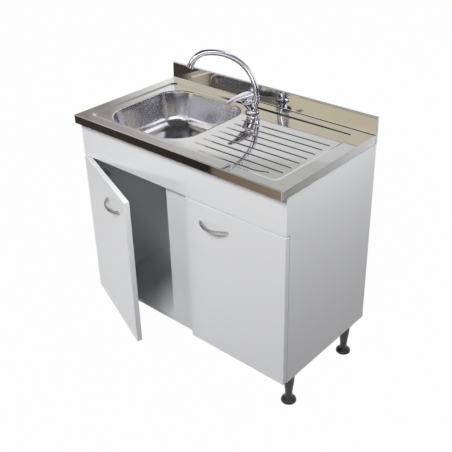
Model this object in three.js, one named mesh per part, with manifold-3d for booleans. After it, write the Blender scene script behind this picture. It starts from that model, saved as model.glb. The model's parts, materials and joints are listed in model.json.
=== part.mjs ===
// A free-standing kitchen sink unit: a pressed steel top with one bowl, a ribbed drainer and a low
// upstand, on a two-door cabinet with adjustable legs, a swan-neck mixer tap and a bottle trap.
// Millimetres, +Z up. Inside this file X runs along the front, Y towards the wall, Z up from the floor.

import * as THREE from 'three';
import { mergeVertices } from 'three/addons/utils/BufferGeometryUtils.js';
import loadManifold from 'manifold-3d';

const wasm = await loadManifold();
wasm.setup();

// ---- Overall sizes

const unitWidth = 900;
const unitDepth = 500;
const deckHeight = 850;       // floor to the rim of the top
const legHeight = 130;        // floor to the underside of the cabinet

// ---- Sink top

const sheet = 1;
const skirtHeight = 30;       // the folded edge round the front and sides
const hemWidth = 9;
const rimCorner = 4;
const rimSoftness = 2;
const upstandHeight = 60;
const upstandThickness = 13;
const trayLeft = 40;          // rim widths outside the sunken tray
const trayRight = 48;
const trayFront = 37;
const trayBack = 40;          // measured from the face of the upstand
const trayDepth = 4;
const traySlope = 9;
const trayCorner = 22;

const bowlFromTrayLeft = 38;
const bowlFromTrayFront = 16;
const bowlFromTrayBack = 30;
const bowlWidth = 365;
const bowlDepth = 120;
const bowlCorner = 100;
const bowlRoll = 5;
const bowlTaper = 18;
const bowlBaseRadius = 50;
const bowlFloorFall = 3;
const bowlFlange = 8;

const ridgeCount = 7;         // straight ones; one more curls round the front corner
const ridgePitch = 38;
const ridgeWidth = 9;
const ridgeHeight = 3;
const ridgeLength = 347;
const ridgeFromTrayRight = 21;
const ridgeFromTrayFront = 23;
const curledRidgeSetback = 48;
const curledRidgeStraight = 208;
const curlRadius = 115;
const curlAngle = 28;

// ---- Waste and trap

const wasteHoleRadius = 45;
const wasteSeatRadius = 58;
const wasteSeatDepth = 3;
const wasteRimThickness = 1.2;
const strainerCupDepth = 28;
const wasteGasketThickness = 3;
const wasteBodyHeight = 78;
const wasteWall = 2.5;
const outletRadius = 20.5;
const pipeRadius = 16;
const pipeWall = 1.8;
const slipNutRadius = 27;
const slipNutHeight = 26;
const bottleRadius = 33;
const trapDrop = 52;          // from the waste's outlet down to the bottle's top
const bottleHeight = 56;      // down to the joint with its cup
const cupHeight = 70;
const bottleCollar = 4;
const sealDip = 30;
const branchDrop = 29;        // from the bottle's top to the branch's centre line
const branchLength = 15;
const overflowDepth = 45;     // below the tray
const overflowHoleRadius = 11;
const rosetteRadius = 17;
const overflowPipeRadius = 9;
const overflowBend = 22;

// ---- Tap

const tapFromLeft = 464;
const tapFromBack = 99;
const tapHoleRadius = 17.5;
const tapGasketThickness = 2;
const tapBaseRadius = 24;
const tapBaseHeight = 10;
const waistRadius = 18;
const headRadius = 25;
const headLean = 28;          // degrees from upright, towards the user
const headForward = 20;
const headRise = 50;
const cartridgeRadius = 12.5;
const cartridgeDepth = 30;
const domeRadius = 20.5;
const pivotRise = 6;
const leverShell = 5;
const leverReach = 107;
const leverPitch = 6;
const leverRimTilt = 11;
const stemWidth = 6;
const stemDepth = 8;
const guideRadius = 9;
const spoutFromTap = 23;
const spoutBossRadius = 13.5;
const spoutBossHeight = 46;
const spoutSocketDepth = 14;
const spoutCollarHeight = 10;
const spoutRadius = 10;
const spoutWall = 1.5;
const spoutHeading = 237.5;   // degrees from +X: it points over the bowl
const spoutRise = 52;         // where the riser begins to bend
const spoutBigBend = 173;
const spoutSmallBend = 59;
const spoutSmallTurn = 66;
const spoutTip = 8;
const aeratorRadius = 11.5;
const aeratorLength = 15;
const shankRadius = 14;
const shankLength = 62;
const shankWall = 2.5;
const clampThickness = 4;
const clampRadius = 27;
const backnutFlats = 38;
const backnutHeight = 10;
const tailRadius = 5;
const tailWall = 1;
const tailLength = 130;
const tailSpread = 13;
const tailNutFlats = 19;
const tailNutHeight = 16;

// ---- Cabinet

const panel = 16;
const frontBoard = 18;
const sideInset = 1.5;        // the sink's skirt stands this far outside the cabinet
const carcassFront = 43.5;
const carcassFromBack = 3;
const fasciaDrop = 161;       // from the rim of the top to the fascia's foot
const stileWidth = 120;
const stileLap = 80;
const rearRailHeight = 100;
const backBoard = 3;
const backRebate = 8;
const plumbingCutWidth = 220;
const plumbingCutHeight = 300;
const plumbingCutFoot = 170;
const edgeBevel = 0.8;

const doorWidth = 401;
const doorGap = 3;
const doorSideGap = 2;
const bumperGap = 1.5;
const leftDoorOpen = 22;      // degrees, as it stands

const handleLength = 126;
const handleProjection = 27;
const handleMiddle = 6;
const handleFoot = 13;
const handleHeight = 12;
const handleBevel = 1.5;
const handleFromTop = 68;
const handleFromEdge = 119;

const hingeFromEnd = 95;
const cupRadius = 17.5;
const cupDepth = 11.5;
const cupFromEdge = 22;
const cupWall = 1.5;
const cupPlateLength = 54;
const cupPlateWidth = 24;
const cupPlateThickness = 1;
const cupPinRadius = 1.5;
const cupPinFromBack = 2;     // the pin crosses the cup this far inside the door's back
const armWidth = 12;
const armLength = 62;
const armHeight = 14;
const noseRadius = 28;        // the nose curves about the door's hinge line
const noseWidth = 3;
const noseHeight = 10;
const noseFrom = 18.5;        // degrees round the hinge line, from the closed door's plane
const noseTo = 54;
const hingePlateLength = 34;
const hingePlateHeight = 48;
const hingePlateThickness = 3;

const legFromSide = 32;
const legFromFront = 54;
const legFromBack = 68;
const socketPlateRadius = 29;
const socketPlateThickness = 4;
const socketHeight = 18;
const legTopRadius = 19;
const legNeckRadius = 12;
const padRadius = 26.5;
const padHeight = 23.5;
const padStemRadius = 5;
const padStemLength = 25;

// ---- Clearances

const seatGap = 0.3;          // between pieces that touch on a curved or turned face
const runningGap = 0.5;       // round pieces that turn or slide

// ---- Facets

const roundSides = 20;
const smallSides = 14;
const legSides = 14;
const pipeSides = 8;
const tapSides = 18;
const cornerSteps = 5;
const sideSteps = 2;          // along each straight side of the bowl

// ---- Places worked out from the sizes

const upstandFace = unitDepth - upstandThickness;
const tray = {
  x0: trayLeft,
  x1: unitWidth - trayRight,
  y0: trayFront,
  y1: upstandFace - trayBack,
};
const trayFloor = deckHeight - trayDepth;
const trayUnderside = trayFloor - sheet;
const bowl = {
  x0: tray.x0 + bowlFromTrayLeft,
  x1: tray.x0 + bowlFromTrayLeft + bowlWidth,
  y0: tray.y0 + bowlFromTrayFront,
  y1: tray.y1 - bowlFromTrayBack,
};
const bowlX = (bowl.x0 + bowl.x1) / 2;
const bowlY = (bowl.y0 + bowl.y1) / 2;
const wasteSeat = trayFloor - bowlDepth - bowlFloorFall - wasteSeatDepth;
const gasketFoot = wasteSeat - sheet - wasteGasketThickness;
const wasteOutlet = gasketFoot - wasteBodyHeight;
const bottleTop = wasteOutlet - trapDrop;
const bottleJoint = bottleTop - bottleHeight;
const bottleBottom = bottleJoint - cupHeight;
const branchHeight = bottleTop - branchDrop;
const tapX = tapFromLeft;
const tapY = unitDepth - tapFromBack;
const carcassLeft = sideInset;
const carcassRight = unitWidth - sideInset;
const innerLeft = carcassLeft + panel;
const innerRight = carcassRight - panel;
const carcassBack = unitDepth - carcassFromBack;
const floorTop = legHeight + panel;
const fasciaBottom = deckHeight - fasciaDrop;
const doorBack = carcassFront - bumperGap;
const doorFront = doorBack - frontBoard;
const doorTop = fasciaBottom - doorGap;
const doorFoot = legHeight + doorGap;
const doorHeight = doorTop - doorFoot;
const leftDoorAngle = THREE.MathUtils.degToRad(leftDoorOpen);
const openDoorReach = doorFront - doorWidth * Math.sin(leftDoorAngle);

// ---- Finishes

function finish(color, roughness, metalness) {
  return new THREE.MeshStandardMaterial({ color, roughness, metalness });
}

const steel = finish(0xb9b7b3, 0.18, 1);
const satinSteel = finish(0xa5a5a7, 0.35, 1);
const chrome = finish(0xd5d5d9, 0.06, 1);
const nickel = finish(0x9a9a99, 0.32, 1);
const brass = finish(0xb08d4a, 0.4, 1);
const rubber = finish(0x232323, 0.8, 0);
const whitePlastic = finish(0xe4e4e2, 0.45, 0);
const blackPlastic = finish(0x232321, 0.45, 0);
const whiteBoard = finish(0xd9dadd, 0.35, 0);
const backBoardWhite = finish(0xc9cbcb, 0.6, 0);

// ---- Shape tools

const mergeDistance = 1e-4;

function bareGeometry(positions, indices) {
  const geometry = new THREE.BufferGeometry();
  geometry.setAttribute('position', new THREE.Float32BufferAttribute(positions, 3));
  geometry.setIndex(indices);
  return geometry;
}

function signedVolume(points, triangles) {
  let volume = 0;
  const [a, b, c] = [new THREE.Vector3(), new THREE.Vector3(), new THREE.Vector3()];
  for (let i = 0; i < triangles.length; i += 3) {
    a.fromArray(points, triangles[i] * 3);
    b.fromArray(points, triangles[i + 1] * 3);
    c.fromArray(points, triangles[i + 2] * 3);
    volume += a.dot(b.cross(c)) / 6;
  }
  return volume;
}

// Merges shared corners, drops collapsed triangles and turns every face outwards
function closed(geometry) {
  const index = geometry.index ? Array.from(geometry.index.array) : null;
  const positions = Array.from(geometry.getAttribute('position').array);
  const loose = index ?? positions.slice(0, positions.length / 3).map((_, i) => i);
  const merged = mergeVertices(bareGeometry(positions, loose), mergeDistance);
  const points = merged.getAttribute('position').array;
  const triangles = [];
  for (let i = 0; i < merged.index.count; i += 3) {
    const [a, b, c] = merged.index.array.slice(i, i + 3);
    if (a !== b && b !== c && c !== a) triangles.push(a, b, c);
  }
  if (signedVolume(points, triangles) < 0) triangles.reverse();
  return bareGeometry(Array.from(points), triangles);
}

function toSolid(geometry) {
  const tidy = closed(geometry);
  return new wasm.Manifold(new wasm.Mesh({
    numProp: 3,
    vertProperties: new Float32Array(tidy.getAttribute('position').array),
    triVerts: new Uint32Array(tidy.index.array),
  }));
}

function fromSolid(solid) {
  const mesh = solid.getMesh();
  return bareGeometry(Array.from(mesh.vertProperties), Array.from(mesh.triVerts));
}

function join(first, ...others) {
  return fromSolid(others.reduce((whole, other) => whole.add(toSolid(other)), toSolid(first)));
}

function cut(body, ...tools) {
  return fromSolid(tools.reduce((whole, tool) => whole.subtract(toSolid(tool)), toSolid(body)));
}

// A solid through loops of equally many points; a ring joins its last loop to its first
function loft(loops, ring = false) {
  const count = loops[0].length;
  const points = loops.flat();
  const indices = [];
  const rows = ring ? loops.length : loops.length - 1;
  for (let row = 0; row < rows; row++) {
    const next = (row + 1) % loops.length;
    for (let i = 0; i < count; i++) {
      const j = (i + 1) % count;
      const [a, b] = [row * count + i, row * count + j];
      const [c, d] = [next * count + j, next * count + i];
      indices.push(a, b, c, a, c, d);
    }
  }
  if (!ring) {
    for (let i = 1; i < count - 1; i++) {
      const last = (loops.length - 1) * count;
      indices.push(0, i + 1, i, last, last + i, last + i + 1);
    }
  }
  return closed(bareGeometry(points.flatMap((p) => p.toArray()), indices));
}

function arc(centre, radius, from, to, steps, place) {
  return Array.from({ length: steps + 1 }, (_, i) => {
    const angle = THREE.MathUtils.degToRad(from + (to - from) * i / steps);
    return place(centre[0] + radius * Math.cos(angle), centre[1] + radius * Math.sin(angle));
  });
}

function rectLoop({ x0, x1, y0, y1 }, inset, corner, z, steps = 3) {
  const [left, right, front, back] = [x0, x1, y0, y1].map((edge, i) => {
    return edge + (i % 2 ? -1 : 1) * (inset + corner);
  });
  const place = (x, y) => new THREE.Vector3(x, y, z);
  return [
    ...arc([right, back], corner, 0, 90, steps, place),
    ...arc([left, back], corner, 90, 180, steps, place),
    ...arc([left, front], corner, 180, 270, steps, place),
    ...arc([right, front], corner, 270, 360, steps, place),
  ];
}

// Profile points are [radius, height]; a profile off the axis closes on itself as a ring
function revolve(profile, steps = roundSides) {
  const onAxis = profile[0][0] === 0;
  const outline = onAxis ? profile : [...profile, profile[0]];
  const geometry = new THREE.LatheGeometry(outline.map(([r, h]) => new THREE.Vector2(r, h)), steps);
  geometry.rotateX(Math.PI / 2);
  return closed(geometry);
}

function tubeRing(outer, inner, foot, top, steps = roundSides) {
  return revolve([[inner, foot], [outer, foot], [outer, top], [inner, top]], steps);
}

function disc(radius, foot, top, steps = roundSides) {
  return revolve([[0, foot], [radius, foot], [radius, top], [0, top]], steps);
}

function block(x0, x1, y0, y1, z0, z1) {
  const geometry = new THREE.BoxGeometry(x1 - x0, y1 - y0, z1 - z0);
  geometry.translate((x0 + x1) / 2, (y0 + y1) / 2, (z0 + z1) / 2);
  return geometry;
}

// A board with its edges eased all round
function board(x0, x1, y0, y1, z0, z1, bevel = edgeBevel) {
  const corners = (inset, z) => [
    new THREE.Vector3(x0 + inset, y0 + inset, z),
    new THREE.Vector3(x1 - inset, y0 + inset, z),
    new THREE.Vector3(x1 - inset, y1 - inset, z),
    new THREE.Vector3(x0 + inset, y1 - inset, z),
  ];
  return loft([corners(bevel, z0), corners(0, z0 + bevel), corners(0, z1 - bevel), corners(bevel, z1)]);
}

function hexagon(flats, foot, top, bore) {
  const outline = new THREE.Shape();
  const corner = flats / Math.sqrt(3);
  for (let i = 0; i < 6; i++) {
    const angle = i * Math.PI / 3;
    outline[i ? 'lineTo' : 'moveTo'](corner * Math.cos(angle), corner * Math.sin(angle));
  }
  outline.holes.push(new THREE.Path().absarc(0, 0, bore, 0, 2 * Math.PI, true));
  const geometry = new THREE.ExtrudeGeometry(outline, { depth: top - foot, bevelEnabled: false });
  geometry.translate(0, 0, foot);
  return geometry;
}

// A hollow tube through points that lie in a plane, whose normal is given
function tube(points, normal, outer, inner, sides) {
  const ring = (radius) => points.map((point, i) => {
    const ahead = points[Math.min(i + 1, points.length - 1)];
    const behind = points[Math.max(i - 1, 0)];
    const across = ahead.clone().sub(behind).cross(normal).normalize();
    return Array.from({ length: sides }, (_, k) => {
      const angle = 2 * Math.PI * k / sides;
      return point.clone().addScaledVector(across, radius * Math.cos(angle))
        .addScaledVector(normal, radius * Math.sin(angle));
    });
  });
  return loft([...ring(outer), ...ring(inner).reverse()], true);
}

function turned(geometry, x, y, z) {
  return geometry.clone().applyMatrix4(new THREE.Matrix4().makeRotationFromEuler(
    new THREE.Euler(x, y, z)));
}

function moved(geometry, x, y, z) {
  return geometry.clone().translate(x, y, z);
}

const unit = new THREE.Group();

function piece(name, geometry, material, parent = unit) {
  const mesh = new THREE.Mesh(closed(geometry), material);
  mesh.geometry.computeVertexNormals();
  mesh.name = name;
  parent.add(mesh);
  return mesh;
}

// ---- Sink top: the shell between an outer form and the same form one sheet lower

function ridge(path, tray0, grow) {
  const half = ridgeWidth / 2 - grow;
  const ends = [0.1, 0.65, 1];
  const stations = [];
  path.forEach(([x, y, heading], i) => {
    const atEnd = i === 0 || i === path.length - 1;
    if (!atEnd) {
      stations.push([x, y, heading, 1]);
      return;
    }
    const inward = i === 0 ? 1 : -1;
    const taper = ends.map((scale, k) => {
      const along = inward * ridgeWidth * k / 3;
      return [x + along * Math.cos(heading), y + along * Math.sin(heading), heading, scale];
    });
    stations.push(...(i === 0 ? taper : taper.reverse()));
  });
  return loft(stations.map(([x, y, heading, scale]) => {
    const side = new THREE.Vector3(-Math.sin(heading), Math.cos(heading), 0);
    const point = (across, up) => new THREE.Vector3(x, y, tray0 + up).addScaledVector(side, across);
    const crown = arc([0, 0], 1, 0, 180, 4, (a, b) => point(half * scale * a, ridgeHeight * scale * b));
    return [...crown, point(-half * scale, -sheet / 2), point(half * scale, -sheet / 2)];
  }));
}

function ridgePaths() {
  const right = tray.x1 - ridgeFromTrayRight;
  const front = tray.y0 + ridgeFromTrayFront;
  const left = right - ridgeLength;
  const paths = [];
  for (let i = 1; i <= ridgeCount; i++) {
    paths.push([[left, front + i * ridgePitch, 0], [right, front + i * ridgePitch, 0]]);
  }
  const start = left + curledRidgeSetback;
  const bend = start + curledRidgeStraight;
  const curl = [[start, front, 0], [bend, front, 0]];
  for (let i = 1; i <= 3; i++) {
    const angle = THREE.MathUtils.degToRad(curlAngle * i / 3);
    curl.push([bend + curlRadius * Math.sin(angle), front + curlRadius * (1 - Math.cos(angle)), angle]);
  }
  return [...paths, curl];
}

function pressedForm(drop) {
  const outline = { x0: 0, x1: unitWidth, y0: 0, y1: unitDepth };
  const foot = deckHeight - skirtHeight - drop;
  const rim = (inset, z) => rectLoop(outline, drop + inset, rimCorner - inset - drop / 2, z);
  const soft = rimSoftness - drop;
  let form = loft([rim(0, foot), rim(0, deckHeight - drop - soft),
    rim(soft * 0.4, deckHeight - drop - soft * 0.4), rim(soft, deckHeight - drop)]);
  const wall = board(drop, unitWidth - drop, upstandFace + drop, unitDepth - drop,
    foot, deckHeight + upstandHeight - drop, rimSoftness / 2);
  const well = (inset, z) => rectLoop(tray, inset, trayCorner, z, 4);
  const above = deckHeight + 1;
  const recess = loft([
    well(traySlope - drop / 2, trayFloor - drop),
    well(-drop / 2, deckHeight - drop),
    well(-drop / 2, above),
  ]);
  form = cut(join(form, wall), recess);
  return join(form, ...ridgePaths().map((path) => ridge(path, trayFloor - drop, drop / 2)));
}

function bowlProfile() {
  const points = [[0, 0], [bowlRoll, bowlRoll * 0.6]];
  const depth = bowlDepth - bowlBaseRadius;
  points.push([depth / 2, bowlTaper / 2 + bowlRoll * 0.3]);
  points.push([depth, bowlTaper]);
  for (let i = 1; i <= 4; i++) {
    const angle = i * Math.PI / 8;
    points.push([depth + bowlBaseRadius * Math.sin(angle),
      bowlTaper + bowlBaseRadius * (1 - Math.cos(angle))]);
  }
  return points;
}

// The same profile one sheet further out and down
function bowlOutside(points) {
  return points.map(([depth, inset], i) => {
    const before = points[Math.max(i - 1, 0)];
    const after = points[Math.min(i + 1, points.length - 1)];
    const run = Math.hypot(after[0] - before[0], after[1] - before[1]);
    const out = (after[0] - before[0]) / run;
    const down = (after[1] - before[1]) / run;
    return [depth + sheet * down, inset - sheet * out];
  });
}

// Points follow each corner in even steps and each straight side in a few more
function bowlLoop(depth, inset) {
  const loop = rectLoop(bowl, inset, bowlCorner - inset, trayFloor - depth, cornerSteps);
  return loop.flatMap((point, i) => {
    if ((i + 1) % (cornerSteps + 1)) return [point];
    const next = loop[(i + 1) % loop.length];
    return Array.from({ length: sideSteps }, (_, k) => point.clone().lerp(next, k / sideSteps));
  });
}

// Circles with as many points, whose corners line up with the bowl's
function wasteLoop(radius, z) {
  const count = 4 * (cornerSteps + sideSteps);
  return Array.from({ length: count }, (_, i) => {
    const angle = 2 * Math.PI * (i - cornerSteps / 2) / count + Math.PI / 4;
    return new THREE.Vector3(bowlX + radius * Math.cos(angle), bowlY + radius * Math.sin(angle), z);
  });
}

function bowlShell() {
  const inside = bowlProfile();
  const outside = bowlOutside(inside).slice(2);
  const seatTop = wasteSeat + wasteSeatDepth;
  const neck = -sheet;
  return loft([
    ...inside.map(([depth, inset]) => bowlLoop(depth, inset)),
    wasteLoop(wasteSeatRadius + wasteSeatDepth, seatTop),
    wasteLoop(wasteSeatRadius, wasteSeat),
    wasteLoop(wasteHoleRadius, wasteSeat),
    wasteLoop(wasteHoleRadius, wasteSeat - sheet),
    wasteLoop(wasteSeatRadius + sheet / 2, wasteSeat - sheet),
    wasteLoop(wasteSeatRadius + wasteSeatDepth + sheet / 2, seatTop - sheet),
    ...outside.reverse().map(([depth, inset]) => bowlLoop(depth, inset)),
    bowlLoop(trayDepth + sheet * 2, neck),
    bowlLoop(sheet * 2, neck),
    bowlLoop(sheet * 2, neck - bowlFlange),
    bowlLoop(sheet, neck - bowlFlange),
    bowlLoop(sheet, neck),
    bowlLoop(0, neck),
  ], true);
}

// Where the right-hand wall of the bowl stands at the overflow, and how far it leans
function overflowWall() {
  const points = bowlProfile();
  const next = points.findIndex(([depth]) => depth > overflowDepth);
  const [d0, i0] = points[next - 1];
  const [d1, i1] = points[next];
  const inset = i0 + (i1 - i0) * (overflowDepth - d0) / (d1 - d0);
  return { x: bowl.x1 - inset, lean: Math.atan2(i1 - i0, d1 - d0) };
}

function buildSinkTop() {
  const gap = sheet + seatGap;
  const holeLoop = (z) => rectLoop(bowl, -gap, bowlCorner + gap, z, cornerSteps);
  const bowlHole = loft([holeLoop(trayUnderside - 2), holeLoop(deckHeight + 2)]);
  const tapHole = moved(disc(tapHoleRadius, trayUnderside - 2, deckHeight + 2), tapX, tapY, 0);
  const skirtFoot = deckHeight - skirtHeight;
  const hem = block(-1, unitWidth + 1, -1, hemWidth, skirtFoot - 2, skirtFoot + sheet);
  const hollow = cut(pressedForm(sheet), hem);
  piece('sink_deck', cut(pressedForm(0), hollow, bowlHole, tapHole), steel);

  const overflow = overflowWall();
  const overflowHole = moved(turned(disc(overflowHoleRadius, -panel, panel), 0, Math.PI / 2, 0),
    overflow.x, bowlY, trayFloor - overflowDepth);
  piece('sink_bowl', cut(bowlShell(), overflowHole), satinSteel);

  const plate = [[0, 0], [rosetteRadius, 0], [rosetteRadius, 1], [rosetteRadius - 2, 2.2], [0, 2.2]];
  const slots = [-8, 0, 8].map((y) => board(-9, 9, y - 1.2, y + 1.2, -1, 4, 0.1));
  const rosette = piece('overflow_rosette', cut(revolve(plate, smallSides), ...slots), chrome);
  rosette.position.set(overflow.x - seatGap, bowlY, trayFloor - overflowDepth);
  rosette.rotation.y = overflow.lean - Math.PI / 2;
}

// ---- Waste, strainer, overflow pipe and bottle trap, all on the bowl's centre line

function buildWaste() {
  const waste = new THREE.Group();
  waste.position.set(bowlX, bowlY, 0);
  unit.add(waste);
  const cupOuter = wasteHoleRadius - seatGap;
  const cupInner = cupOuter - wasteRimThickness;
  const cupFoot = wasteSeat - strainerCupDepth;
  const cupFloor = cupFoot + wasteRimThickness;
  const rimTop = wasteSeat + wasteRimThickness;
  piece('waste_cup', revolve([
    [wasteSeatRadius - seatGap * 2, wasteSeat], [wasteSeatRadius - seatGap * 2, rimTop - 0.4],
    [wasteSeatRadius - 2, rimTop], [cupInner + 2, rimTop], [cupInner, rimTop - 1.5],
    [cupInner, cupFloor], [pipeRadius, cupFloor], [pipeRadius, cupFoot], [cupOuter, cupFoot],
    [cupOuter, wasteSeat],
  ]), satinSteel, waste);

  const basketRadius = cupInner - runningGap;
  const basketFoot = cupFloor + seatGap;
  const lip = rimTop - 2;
  piece('strainer_basket', revolve([
    [0, basketFoot], [basketRadius * 0.72, basketFoot], [basketRadius - 2, basketFoot + 9],
    [basketRadius, lip], [basketRadius - 1.2, lip], [basketRadius - 3.2, basketFoot + 10],
    [basketRadius * 0.7, basketFoot + 1.2], [4, basketFoot + 1.2], [4, lip - 6], [8, lip - 4],
    [8, lip - 1], [6, lip], [0, lip],
  ]), satinSteel, waste);

  piece('waste_gasket', tubeRing(wasteSeatRadius - 1, wasteHoleRadius, gasketFoot, wasteSeat - sheet),
    rubber, waste);

  const throat = wasteHoleRadius + runningGap;
  const shoulder = cupFoot - wasteWall - 2;
  const funnelFoot = wasteOutlet + slipNutHeight;
  const body = revolve([
    [throat, gasketFoot], [throat, shoulder], [outletRadius - wasteWall, funnelFoot],
    [outletRadius - wasteWall, wasteOutlet], [outletRadius, wasteOutlet],
    [outletRadius, funnelFoot - 1], [throat + wasteWall, shoulder - 1],
    [throat + wasteWall, gasketFoot - 5], [wasteSeatRadius, gasketFoot - 5],
    [wasteSeatRadius, gasketFoot],
  ]);
  const inletHeight = shoulder + overflowPipeRadius + 1.5;
  const spigotEnd = throat + wasteWall + 14;
  const spigot = (radius, from) => moved(turned(disc(radius, from, spigotEnd, pipeSides),
    0, Math.PI / 2, 0), 0, 0, inletHeight);
  piece('waste_body', cut(join(body, spigot(overflowPipeRadius, throat + 1)),
    spigot(overflowPipeRadius - 2, throat - 3)), whitePlastic, waste);

  buildOverflowPipe(bowlX + spigotEnd, inletHeight);
  buildTrap(waste);
}

function buildOverflowPipe(spigotEnd, inletHeight) {
  const overflow = overflowWall();
  const start = overflow.x + sheet + seatGap * 2 + overflowHoleRadius * Math.sin(overflow.lean);
  const top = trayFloor - overflowDepth;
  const bend = start + 10;
  const at = (x, z) => new THREE.Vector3(x, bowlY, z);
  piece('overflow_pipe', tube([
    at(start, top),
    ...arc([bend, top - overflowBend], overflowBend, 90, 0, 3, at),
    ...arc([bend, inletHeight + overflowBend], overflowBend, 0, -90, 3, at),
    at(spigotEnd + seatGap, inletHeight),
  ], new THREE.Vector3(0, 1, 0), overflowPipeRadius, overflowPipeRadius - pipeWall, pipeSides),
    whitePlastic);
}

function buildTrap(waste) {
  const collarTop = wasteOutlet - seatGap;
  const lipTop = collarTop - 5;
  const pipeFoot = bottleBottom + sealDip;
  const nutBore = outletRadius + seatGap;
  piece('trap_inlet', revolve([
    [pipeRadius - pipeWall, pipeFoot], [pipeRadius, pipeFoot], [pipeRadius, lipTop],
    [outletRadius - 0.5, lipTop], [outletRadius - 0.5, collarTop], [pipeRadius - pipeWall, collarTop],
  ], smallSides), whitePlastic, waste);

  const nut = revolve([
    [pipeRadius + seatGap, lipTop - 4], [slipNutRadius - 1, lipTop - 4], [slipNutRadius, lipTop - 3],
    [slipNutRadius, lipTop + slipNutHeight - 5], [slipNutRadius - 1, lipTop + slipNutHeight - 4],
    [nutBore, lipTop + slipNutHeight - 4], [nutBore, lipTop - seatGap],
    [pipeRadius + seatGap, lipTop - seatGap],
  ]);
  const grooves = Array.from({ length: 8 }, (_, i) => {
    const angle = i * Math.PI / 4;
    return moved(disc(2.5, lipTop - 6, lipTop + slipNutHeight, 6),
      (slipNutRadius + 1) * Math.cos(angle), (slipNutRadius + 1) * Math.sin(angle), 0);
  });
  piece('trap_nut', cut(nut, ...grooves), whitePlastic, waste);

  const wall = wasteWall;
  const inner = bottleRadius - wall;
  const bottle = revolve([
    [pipeRadius + seatGap, bottleTop - 12], [inner, bottleTop - 12], [inner, bottleJoint],
    [bottleRadius, bottleJoint], [bottleRadius, bottleTop - 8], [pipeRadius + 6, bottleTop - 6],
    [pipeRadius + 5, bottleTop], [pipeRadius + seatGap, bottleTop],
  ]);
  const branch = (radius, from, to) => moved(turned(disc(radius, from, to, smallSides),
    -Math.PI / 2, 0, 0), 0, 0, branchHeight);
  const branchEnd = bottleRadius + branchLength;
  piece('trap_bottle', cut(join(bottle, branch(pipeRadius + 2, inner + 0.5, branchEnd)),
    branch(pipeRadius - pipeWall, inner - 4, branchEnd + 1)), whitePlastic, waste);

  piece('trap_cup', revolve([
    [0, bottleBottom], [bottleRadius * 0.75, bottleBottom], [bottleRadius, bottleBottom + 8],
    [bottleRadius, bottleJoint - 14], [bottleRadius + bottleCollar, bottleJoint - 12],
    [bottleRadius + bottleCollar, bottleJoint + 6], [bottleRadius + seatGap, bottleJoint + 6],
    [bottleRadius + seatGap, bottleJoint - seatGap], [inner, bottleJoint - seatGap],
    [inner, bottleBottom + 9], [bottleRadius * 0.7, bottleBottom + wall], [0, bottleBottom + wall],
  ]), whitePlastic, waste);

  const outletStart = branchEnd + seatGap;
  const outletEnd = carcassBack - bowlY;
  const straight = tubeRing(pipeRadius, pipeRadius - pipeWall, outletStart, outletEnd, smallSides);
  piece('trap_outlet', moved(turned(straight, -Math.PI / 2, 0, 0), 0, 0, branchHeight),
    whitePlastic, waste);
}

// ---- Tap: its body leans towards the user under the lever, and the spout turns behind it

const lean = THREE.MathUtils.degToRad(headLean);
const headAxis = new THREE.Vector3(0, -Math.sin(lean), Math.cos(lean));
const headFace = new THREE.Vector3(0, -headForward, headRise);
const leverPivot = headFace.clone().addScaledVector(headAxis, pivotRise);

// A circle square to an axis that leans by an angle in the YZ plane
function leaningLoop(centre, radius, angle, steps = tapSides) {
  const across = new THREE.Vector3(1, 0, 0);
  const along = new THREE.Vector3(0, Math.cos(angle), Math.sin(angle));
  return Array.from({ length: steps }, (_, i) => {
    const t = 2 * Math.PI * i / steps;
    return centre.clone().addScaledVector(across, radius * Math.cos(t))
      .addScaledVector(along, radius * Math.sin(t));
  });
}

function tapBody() {
  const foot = tapGasketThickness;
  const base = revolve([
    [0, foot], [tapBaseRadius - 0.8, foot], [tapBaseRadius, foot + 0.8],
    [tapBaseRadius, foot + tapBaseHeight - 4], [tapBaseRadius - 1.5, foot + tapBaseHeight - 1],
    [tapBaseRadius - 4, foot + tapBaseHeight], [0, foot + tapBaseHeight],
  ]);
  const start = new THREE.Vector3(0, 0, foot + tapBaseHeight / 2);
  const middle = new THREE.Vector3(0, -headForward * 0.12, headRise * 0.55);
  const spine = new THREE.QuadraticBezierCurve3(start, middle, headFace);
  const radii = [tapBaseRadius - 3.5, waistRadius, waistRadius, waistRadius + 1.5,
    headRadius - 2.5, headRadius - 0.5, headRadius - 0.5, headRadius - 1.5];
  const places = [0, 0.25, 0.42, 0.6, 0.8, 0.93, 0.975, 1];
  const barrel = loft(places.map((t, i) => {
    return leaningLoop(spine.getPoint(t), radii[i], lean * Math.min(t * 1.2, 1));
  }));

  const bossTop = spoutBossHeight;
  const bossAt = (y, z) => new THREE.Vector3(0, y, z);
  const boss = loft([
    leaningLoop(bossAt(spoutFromTap * 0.2, foot + spoutBossRadius * 0.6), spoutBossRadius - 1, -0.5),
    leaningLoop(bossAt(spoutFromTap * 0.7, bossTop * 0.45), spoutBossRadius - 0.5, -0.5),
    leaningLoop(bossAt(spoutFromTap * 0.97, bossTop * 0.72), spoutBossRadius, -0.15),
    leaningLoop(bossAt(spoutFromTap, bossTop - 1), spoutBossRadius, 0),
    leaningLoop(bossAt(spoutFromTap, bossTop), spoutBossRadius - 1, 0),
  ]);
  const socketFoot = bossTop - spoutSocketDepth;
  const socket = moved(disc(spoutRadius + runningGap, socketFoot, bossTop + 1, smallSides),
    0, spoutFromTap, 0);
  const bore = moved(turned(disc(cartridgeRadius + seatGap, -cartridgeDepth - seatGap, 4, smallSides),
    lean, 0, 0), ...headFace.toArray());
  return cut(join(base, barrel, boss), socket, bore);
}

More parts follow.
